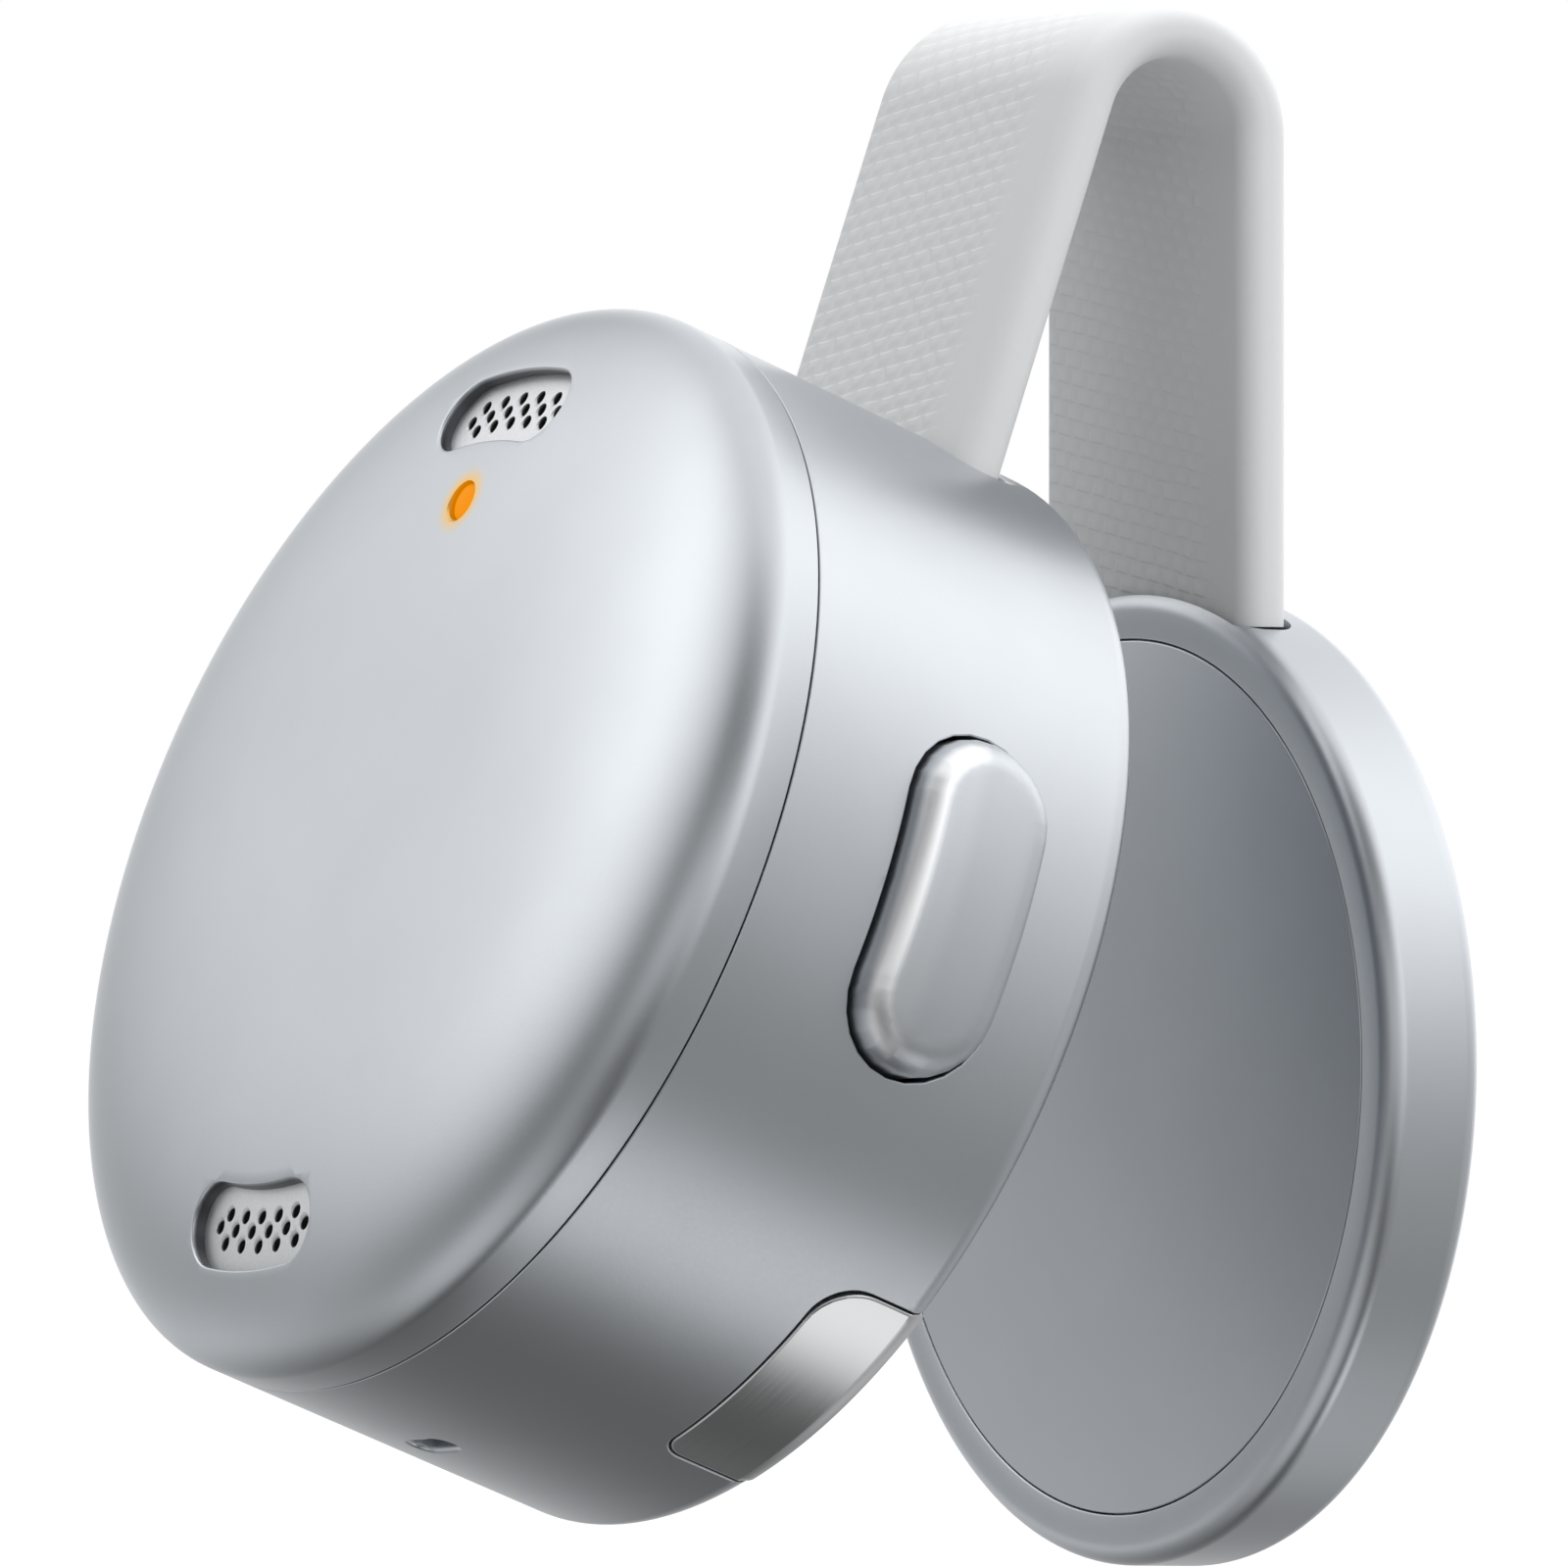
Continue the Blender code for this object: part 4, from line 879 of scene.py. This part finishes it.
class RECORDER_OT_light(bpy.types.Operator):
    """Domed status light below the upper grille"""

    bl_idname = "recorder.light"
    bl_label = "Status Light"

    def execute(self, context):
        top = face_height(LIGHT_PLACE) - LIGHT_SUNK
        foot = SEAM_LEVEL + LIGHT_FOOT
        stem = LIGHT_RADIUS - LIGHT_CLEARANCE
        flange = face_height(LIGHT_PLACE + LIGHT_FLANGE_RADIUS, WALL) - FIT
        under = flange - LIGHT_FLANGE_THICKNESS
        profile = [(stem * sin(k * pi / 16), top - LIGHT_DOME * (1 - cos(k * pi / 16))) for k in range(9)]
        profile += [(stem, flange), (LIGHT_FLANGE_RADIUS, flange), (LIGHT_FLANGE_RADIUS, under)]
        profile += [(stem, under), (stem, foot), (0, foot)]
        light = finish_mesh("light_dome", lathe(profile, 48, centre=(0, LIGHT_PLACE)), LAYOUT)
        dress(light, status_light("Status Light Orange", context.scene.recorder_colours.light), "recorder",
              "status_light", "light_pipe")
        return {"FINISHED"}


class RECORDER_OT_key(bpy.types.Operator):
    """Proud pill-shaped key with a rounded edge"""

    bl_idname = "recorder.key"
    bl_label = "Side Key"

    def execute(self, context):
        bm = bmesh.new()
        edge = context.scene.recorder_sizes.key_edge
        slab(bm, pill_ring(bm, KEY_LENGTH, KEY_WIDTH), -KEY_DEPTH, 0, edge, 8)
        slice_up(bm, 1, -KEY_LENGTH / 2, KEY_LENGTH / 2, 0.3 * MM)
        slice_up(bm, 0, -KEY_WIDTH / 2, KEY_WIDTH / 2, 0.5 * MM)
        key = finish_mesh("side_key", wrap_side(bm, BODY_RADIUS + KEY_PROUD), on_side(pi / 2, KEY_LEVEL))
        even_out(key)
        # The key's material carries a painted highlight along its front edge.
        look = blasted_aluminium("Key Aluminium", context.scene.recorder_colours.body, 0.42, key=True)
        dress(key, look, "key", "aluminium_body", "side_button")
        return {"FINISHED"}


class RECORDER_OT_door(bpy.types.Operator):
    """Polished panel over the socket"""

    bl_idname = "recorder.door"
    bl_label = "Socket Door"

    def execute(self, context):
        bm = bmesh.new()
        side = DOOR_LENGTH / 2 - DOOR_GAP
        edge = DOOR_EDGE
        radii = (DOOR_REAR_CORNER, DOOR_REAR_CORNER,
                 DOOR_HINGE_CORNER - DOOR_GAP, DOOR_FREE_CORNER - DOOR_GAP)
        turns = [pi / 2 * k / 4 for k in range(5)]
        stations = [(0.0, -DOOR_THICKNESS)] + [(edge * (1 - cos(t)), -edge * (1 - sin(t))) for t in turns]
        rings = []
        for inset, level in stations:
            ring = panel_ring(bm, -DOOR_HEIGHT + DOOR_GAP + inset, -DOOR_REAR - inset, -side + inset,
                              side - inset, [radius - inset for radius in radii])
            bmesh.ops.translate(bm, verts=ring, vec=(0, 0, level))
            rings.append(ring)
        loft(bm, rings, triangles=False)
        cut = bmesh.ops.bisect_plane(bm, geom=everything(bm), clear_outer=True,
                                     plane_co=(-DOOR_REAR - DOOR_CHAMFER, 0, 0), plane_no=(1, 0, 2))
        opened = [item for item in cut["geom_cut"] if isinstance(item, bmesh.types.BMEdge)]
        bmesh.ops.contextual_create(bm, geom=opened)
        slice_up(bm, 1, -side, side, 0.3 * MM)
        door = finish_mesh("socket_panel", wrap_side(bm), on_side(DOOR_ANGLE, 0.0))
        even_out(door)
        follow_side(door)
        look = polished_aluminium("Polished Panel", context.scene.recorder_colours.panel)
        dress(door, look, "door", "polished_panel", "port_door")
        return {"FINISHED"}


class RECORDER_OT_disc(bpy.types.Operator):
    """Clip disc with its inset plate"""

    bl_idname = "recorder.disc"
    bl_label = "Clip Disc"

    def execute(self, context):
        small = 0.05 * MM
        recess = INLAY_RADIUS + SEAM_GAP
        ledge = -INLAY_DEPTH - FIT
        floor = DISC_BACK - DISC_DEPTH
        profile = [(0, -DISC_DEPTH)]
        profile += corner((DISC_RADIUS - DISC_FILLET, DISC_FILLET - DISC_DEPTH), DISC_FILLET, -pi / 2, 0, 10)
        profile += corner((DISC_RADIUS - DISC_FILLET, -DISC_FILLET), DISC_FILLET, 0, pi / 2, 10)
        profile += corner((recess + small, -small), small, pi / 2, pi, 3)
        profile += [(recess, ledge), (INLAY_RADIUS - LEDGE, ledge), (INLAY_RADIUS - LEDGE, floor), (0, floor)]
        shell = finish_mesh("disc_cup", lathe(profile), DISC)
        slot = strap_slot(CROWN_RADIUS, DISC_SLOT_DEPTH, DISC_DISTANCE, DISC_RADIUS)
        carve(shell, [finish_mesh("disc_slot", slot, REAR_LEG)])
        colours = context.scene.recorder_colours
        look = blasted_aluminium("Disc Aluminium", colours.body)
        dress(shell, look, "clip", "aluminium_body", "disc_shell")
        profile = [(0, -INLAY_DEPTH), (INLAY_RADIUS, -INLAY_DEPTH)]
        profile += corner((INLAY_RADIUS - small, -small), small, 0, pi / 2, 3) + [(0, 0)]
        plate = finish_mesh("disc_inlay", lathe(profile), DISC)
        dress(plate, blasted_aluminium("Inlay Aluminium", colours.body, 0.40), "clip", "aluminium_body",
              "disc_inner_plate")
        return {"FINISHED"}


class RECORDER_OT_strap(bpy.types.Operator):
    """One moulded strap from the puck over the bend to the disc"""

    bl_idname = "recorder.strap"
    bl_label = "Strap"

    def execute(self, context):
        bm = bmesh.new()
        half = STRAP_THICKNESS / 2
        border = context.scene.recorder_sizes.strap_border
        ring = panel_ring(bm, -STRAP_WIDTH / 2, STRAP_WIDTH / 2, CROWN_RADIUS - half, CROWN_RADIUS + half,
                          [border] * 4, (1, 1), 8)
        bmesh.ops.contextual_create(bm, geom=ring_edges(ring))
        slice_up(bm, 0, -4.8 * MM, 4.8 * MM, 0.8 * MM)
        bmesh.ops.translate(bm, verts=bm.verts, vec=(0, 0, -DISC_LEG))
        bmesh.ops.rotate(bm, verts=bm.verts, matrix=REAR_LEG.to_3x3())
        geom = everything(bm)
        rise = REAR_LEG.to_3x3() @ Vector((0, 0, DISC_LEG / LEG_STEPS))
        fall = FRONT_LEG.to_3x3() @ Vector((0, 0, -PUCK_LEG / LEG_STEPS))
        for angle, run, steps in ((0, rise, LEG_STEPS), (pi - BODY_TILT, (0, 0, 0), CROWN_STEPS),
                                  (0, fall, LEG_STEPS)):
            geom = bmesh.ops.spin(bm, geom=geom, cent=(0, 0, 0), axis=(1, 0, 0), angle=angle, dvec=run,
                                  steps=steps)["geom_last"]
        strap = finish_mesh("strap", bm, Matrix.Identity(4), 60.0)
        self.measure_along(strap.data)
        strap.data.materials.append(twill_elastomer("Strap Elastomer", context.scene.recorder_colours.strap))
        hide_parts("strap_front_leg", "strap_crown", "strap_rear_leg")
        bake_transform(strap)
        return {"FINISHED"}

    def measure_along(self, mesh):
        """Store each point's way along the strap's middle surface, for the embossed pattern."""
        along = mesh.attributes.new("along", "FLOAT", "POINT")
        to_rear = REAR_LEG.inverted()
        to_front = FRONT_LEG.inverted()
        bend = (pi - BODY_TILT) * CROWN_RADIUS
        for vert in mesh.vertices:
            rear = to_rear @ vert.co
            front = to_front @ vert.co
            if rear.y > 0 and rear.z < 0:
                value = rear.z
            elif front.y < 0 and front.z < 0:
                value = bend - front.z
            else:
                value = acos(max(-1.0, min(1.0, rear.y / hypot(rear.y, rear.z)))) * CROWN_RADIUS
            along.data[vert.index].value = value


class RECORDER_OT_inner_pieces(bpy.types.Operator):
    """Finishes of the pieces inside puck and disc"""

    bl_idname = "recorder.inner_pieces"
    bl_label = "Inner Pieces"

    def execute(self, context):
        steel = worked_metal("Stainless Steel", (0.52, 0.53, 0.54), 0.3, 3000)
        nickel = worked_metal("Nickel Plated Magnet", (0.60, 0.58, 0.55), 0.22, 1500)
        board = circuit_board("Circuit Board", (0.012, 0.085, 0.04))
        rubber = moulded("Dark Rubber", (0.02, 0.02, 0.022), 0.75, 4000)
        mesh = moulded("Acoustic Mesh", (0.012, 0.012, 0.013), 0.9, 12000)
        plastic = moulded("Switch Plastic", (0.03, 0.03, 0.034), 0.45, 3000)
        foil = worked_metal("Cell Foil", (0.42, 0.44, 0.48), 0.42, 900)
        film = moulded("Flex Film", (0.42, 0.20, 0.035), 0.4, 2000)
        lamp = moulded("Lamp Plastic", (0.8, 0.42, 0.08), 0.35, 3000)
        looks = {
            steel: ["board_screw_1", "board_screw_2", "board_screw_3", "clamp_screw_1", "clamp_screw_2",
                    "strap_clamp", "disc_strap_screw_1", "disc_strap_screw_2", "door_pin", "charge_port",
                    "processor_shield", "mic_top", "mic_bottom"],
            nickel: ["body_magnet", "disc_magnet"],
            board: ["main_board", "button_board"],
            rubber: ["shell_seal", "mic_boot_top", "mic_boot_bottom", "battery_pad", "button_pad",
                     "vent_membrane"],
            mesh: ["acoustic_mesh_top", "acoustic_mesh_bottom"],
            plastic: ["button_switch"],
            foil: ["battery"],
            film: ["battery_flex"],
            lamp: ["led_chip"],
        }
        for look, names in looks.items():
            for name in names:
                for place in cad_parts[name].material_slots:
                    place.material = look
        return {"FINISHED"}


class RECORDER_OT_studio(bpy.types.Operator):
    """Pale floor, soft lamps, world and camera"""

    bl_idname = "recorder.studio"
    bl_label = "Studio"

    def execute(self, context):
        self.add_floor(context)
        self.add_world(context)
        target = Vector((0, -4 * MM, -22 * MM))
        self.add_softbox("Top Box", Vector((0.1, 0.25, 0.95)), target, 1.2, 10.5)
        self.add_softbox("Side Box", Vector((0.95, -0.1, 0.15)), target, 1.0, 2.5)
        self.add_camera(context)
        return {"FINISHED"}

    def add_floor(self, context):
        bm = bmesh.new()
        bmesh.ops.create_circle(bm, cap_ends=True, segments=96, radius=FLOOR_RADIUS)
        floor = finish_mesh("studio_floor", bm, shift(z=FLOOR_LEVEL))
        floor.data.materials.append(pale_floor("Studio Floor", context.scene.recorder_colours.floor))
        floor.visible_glossy = False

    def add_world(self, context):
        """White where the camera sees it, and a soft studio of lit and dark sides for everything else."""
        world = bpy.data.worlds.new("Studio")
        context.scene.world = world
        world.use_nodes = True
        tree = world.node_tree
        tree.nodes.clear()
        start = Wire(tree)
        way = start.node("TexCoord", {}, "Generated")

        def lobe(direction, width, strength):
            """A soft round patch of the surround, so many degrees from its middle to its edge."""
            facing = way.node("VectorMath", {0: way, 1: Vector(direction).normalized()}, "Value",
                              operation="DOT_PRODUCT")
            return strength * facing.ramp(cos(radians(width)), 1.0)

        height = way.node("SeparateXYZ", {0: way}, "Z")
        level = 0.2 + 1.4 * height.ramp(-0.85, 0.45)
        # The lit sides
        level = level + lobe((-0.7, -0.4, 0.55), 35, 0.85)
        level = level + lobe((-0.4, -0.7, 0.6), 40, 0.65)
        level = level + lobe((0.35, 0.6, -0.7), 50, 0.65)
        level = level + lobe((0.38, 0.21, -0.90), 21, 1.0)
        level = level + lobe((0.15, -0.66, -0.74), 38, 0.5)
        # The darker sides
        level = level - lobe((0.7, -0.7, 0.2), 70, 0.7)
        level = level - lobe((-0.35, -0.8, 0.45), 60, 1.0)
        level = level - lobe((0.55, 0.8, -0.25), 60, 0.7)
        level = level - lobe((-0.9, -0.2, 0.35), 40, 0.9)
        level = level - lobe((-0.5, 0.25, 0.8), 50, 0.6)
        level = level - lobe((0.3, 0.1, -0.95), 40, 0.4)
        level = level - lobe((0.5, -0.1, 0.85), 45, 0.45)
        level = level - lobe((0.5, -0.5, 0.7), 32, 0.45)
        level = level - lobe((0.75, 0.6, 0.3), 25, 0.2)
        level = level - lobe((-0.35, 0.17, -0.92), 26, 0.05)
        level = level.math("MAXIMUM", level, DARKEST_SIDE)
        seen = start.node("LightPath", {}, "Is Camera Ray")
        strength = level + seen * (1.0 - level)
        background = tree.nodes.new("ShaderNodeBackground")
        background.inputs["Color"].default_value = (1.0, 1.0, 1.0, 1.0)
        output = tree.nodes.new("ShaderNodeOutputWorld")
        strength.into(background, "Strength")
        tree.links.new(background.outputs[0], output.inputs[0])

    def add_softbox(self, name, offset, target, size, power):
        light = bpy.data.lights.new(name, "AREA")
        light.shape = "RECTANGLE"
        light.size = size
        light.size_y = size
        light.energy = power
        lamp = bpy.data.objects.new(name, light)
        lamp.location = target + offset
        lamp.rotation_euler = (-offset).to_track_quat("-Z", "Y").to_euler()
        lamp.visible_glossy = False
        bpy.context.scene.collection.objects.link(lamp)

    def add_camera(self, context):
        camera = bpy.data.cameras.new("Camera")
        camera.lens = LENS
        camera.sensor_width = 36.0
        camera.clip_start = 0.01
        camera.clip_end = 20.0
        view = bpy.data.objects.new("Camera", camera)
        backward = Vector((0.85269, -0.52219, -0.01661)).normalized()
        right = Vector((0.52245, 0.85226, 0.02711)).normalized()
        up = backward.cross(right)
        place = Vector((386.15, -245.72, -26.15)) * MM
        view.matrix_world = Matrix.Translation(place) @ Matrix((right, up, backward)).transposed().to_4x4()
        context.scene.collection.objects.link(view)
        context.scene.camera = view
        context.scene.view_settings.view_transform = "Standard"


STEPS = (RECORDER_OT_front_cap, RECORDER_OT_rear_cup, RECORDER_OT_grilles, RECORDER_OT_light, RECORDER_OT_key,
         RECORDER_OT_door, RECORDER_OT_disc, RECORDER_OT_strap, RECORDER_OT_inner_pieces, RECORDER_OT_studio)


class RECORDER_PT_panel(bpy.types.Panel):
    """Lists the recorder's pieces and settings"""

    bl_idname = "RECORDER_PT_panel"
    bl_label = "Voice Recorder"
    bl_space_type = "VIEW_3D"
    bl_region_type = "UI"
    bl_category = "Recorder"

    def draw(self, context):
        for group in (context.scene.recorder_sizes, context.scene.recorder_colours):
            column = self.layout.column()
            for name in group.__annotations__:
                column.prop(group, name)
        for step in STEPS:
            self.layout.operator(step.bl_idname)


CLASSES = (RecorderSizes, RecorderColours, *STEPS, RECORDER_PT_panel)


def register():
    for item in CLASSES:
        bpy.utils.register_class(item)
    bpy.types.Scene.recorder_sizes = PointerProperty(type=RecorderSizes)
    bpy.types.Scene.recorder_colours = PointerProperty(type=RecorderColours)


def unregister():
    del bpy.types.Scene.recorder_colours
    del bpy.types.Scene.recorder_sizes
    for item in reversed(CLASSES):
        bpy.utils.unregister_class(item)


def main():
    register()
    for step in STEPS:
        group, name = step.bl_idname.split(".")
        getattr(getattr(bpy.ops, group), name)()


if __name__ == "__main__":
    main()
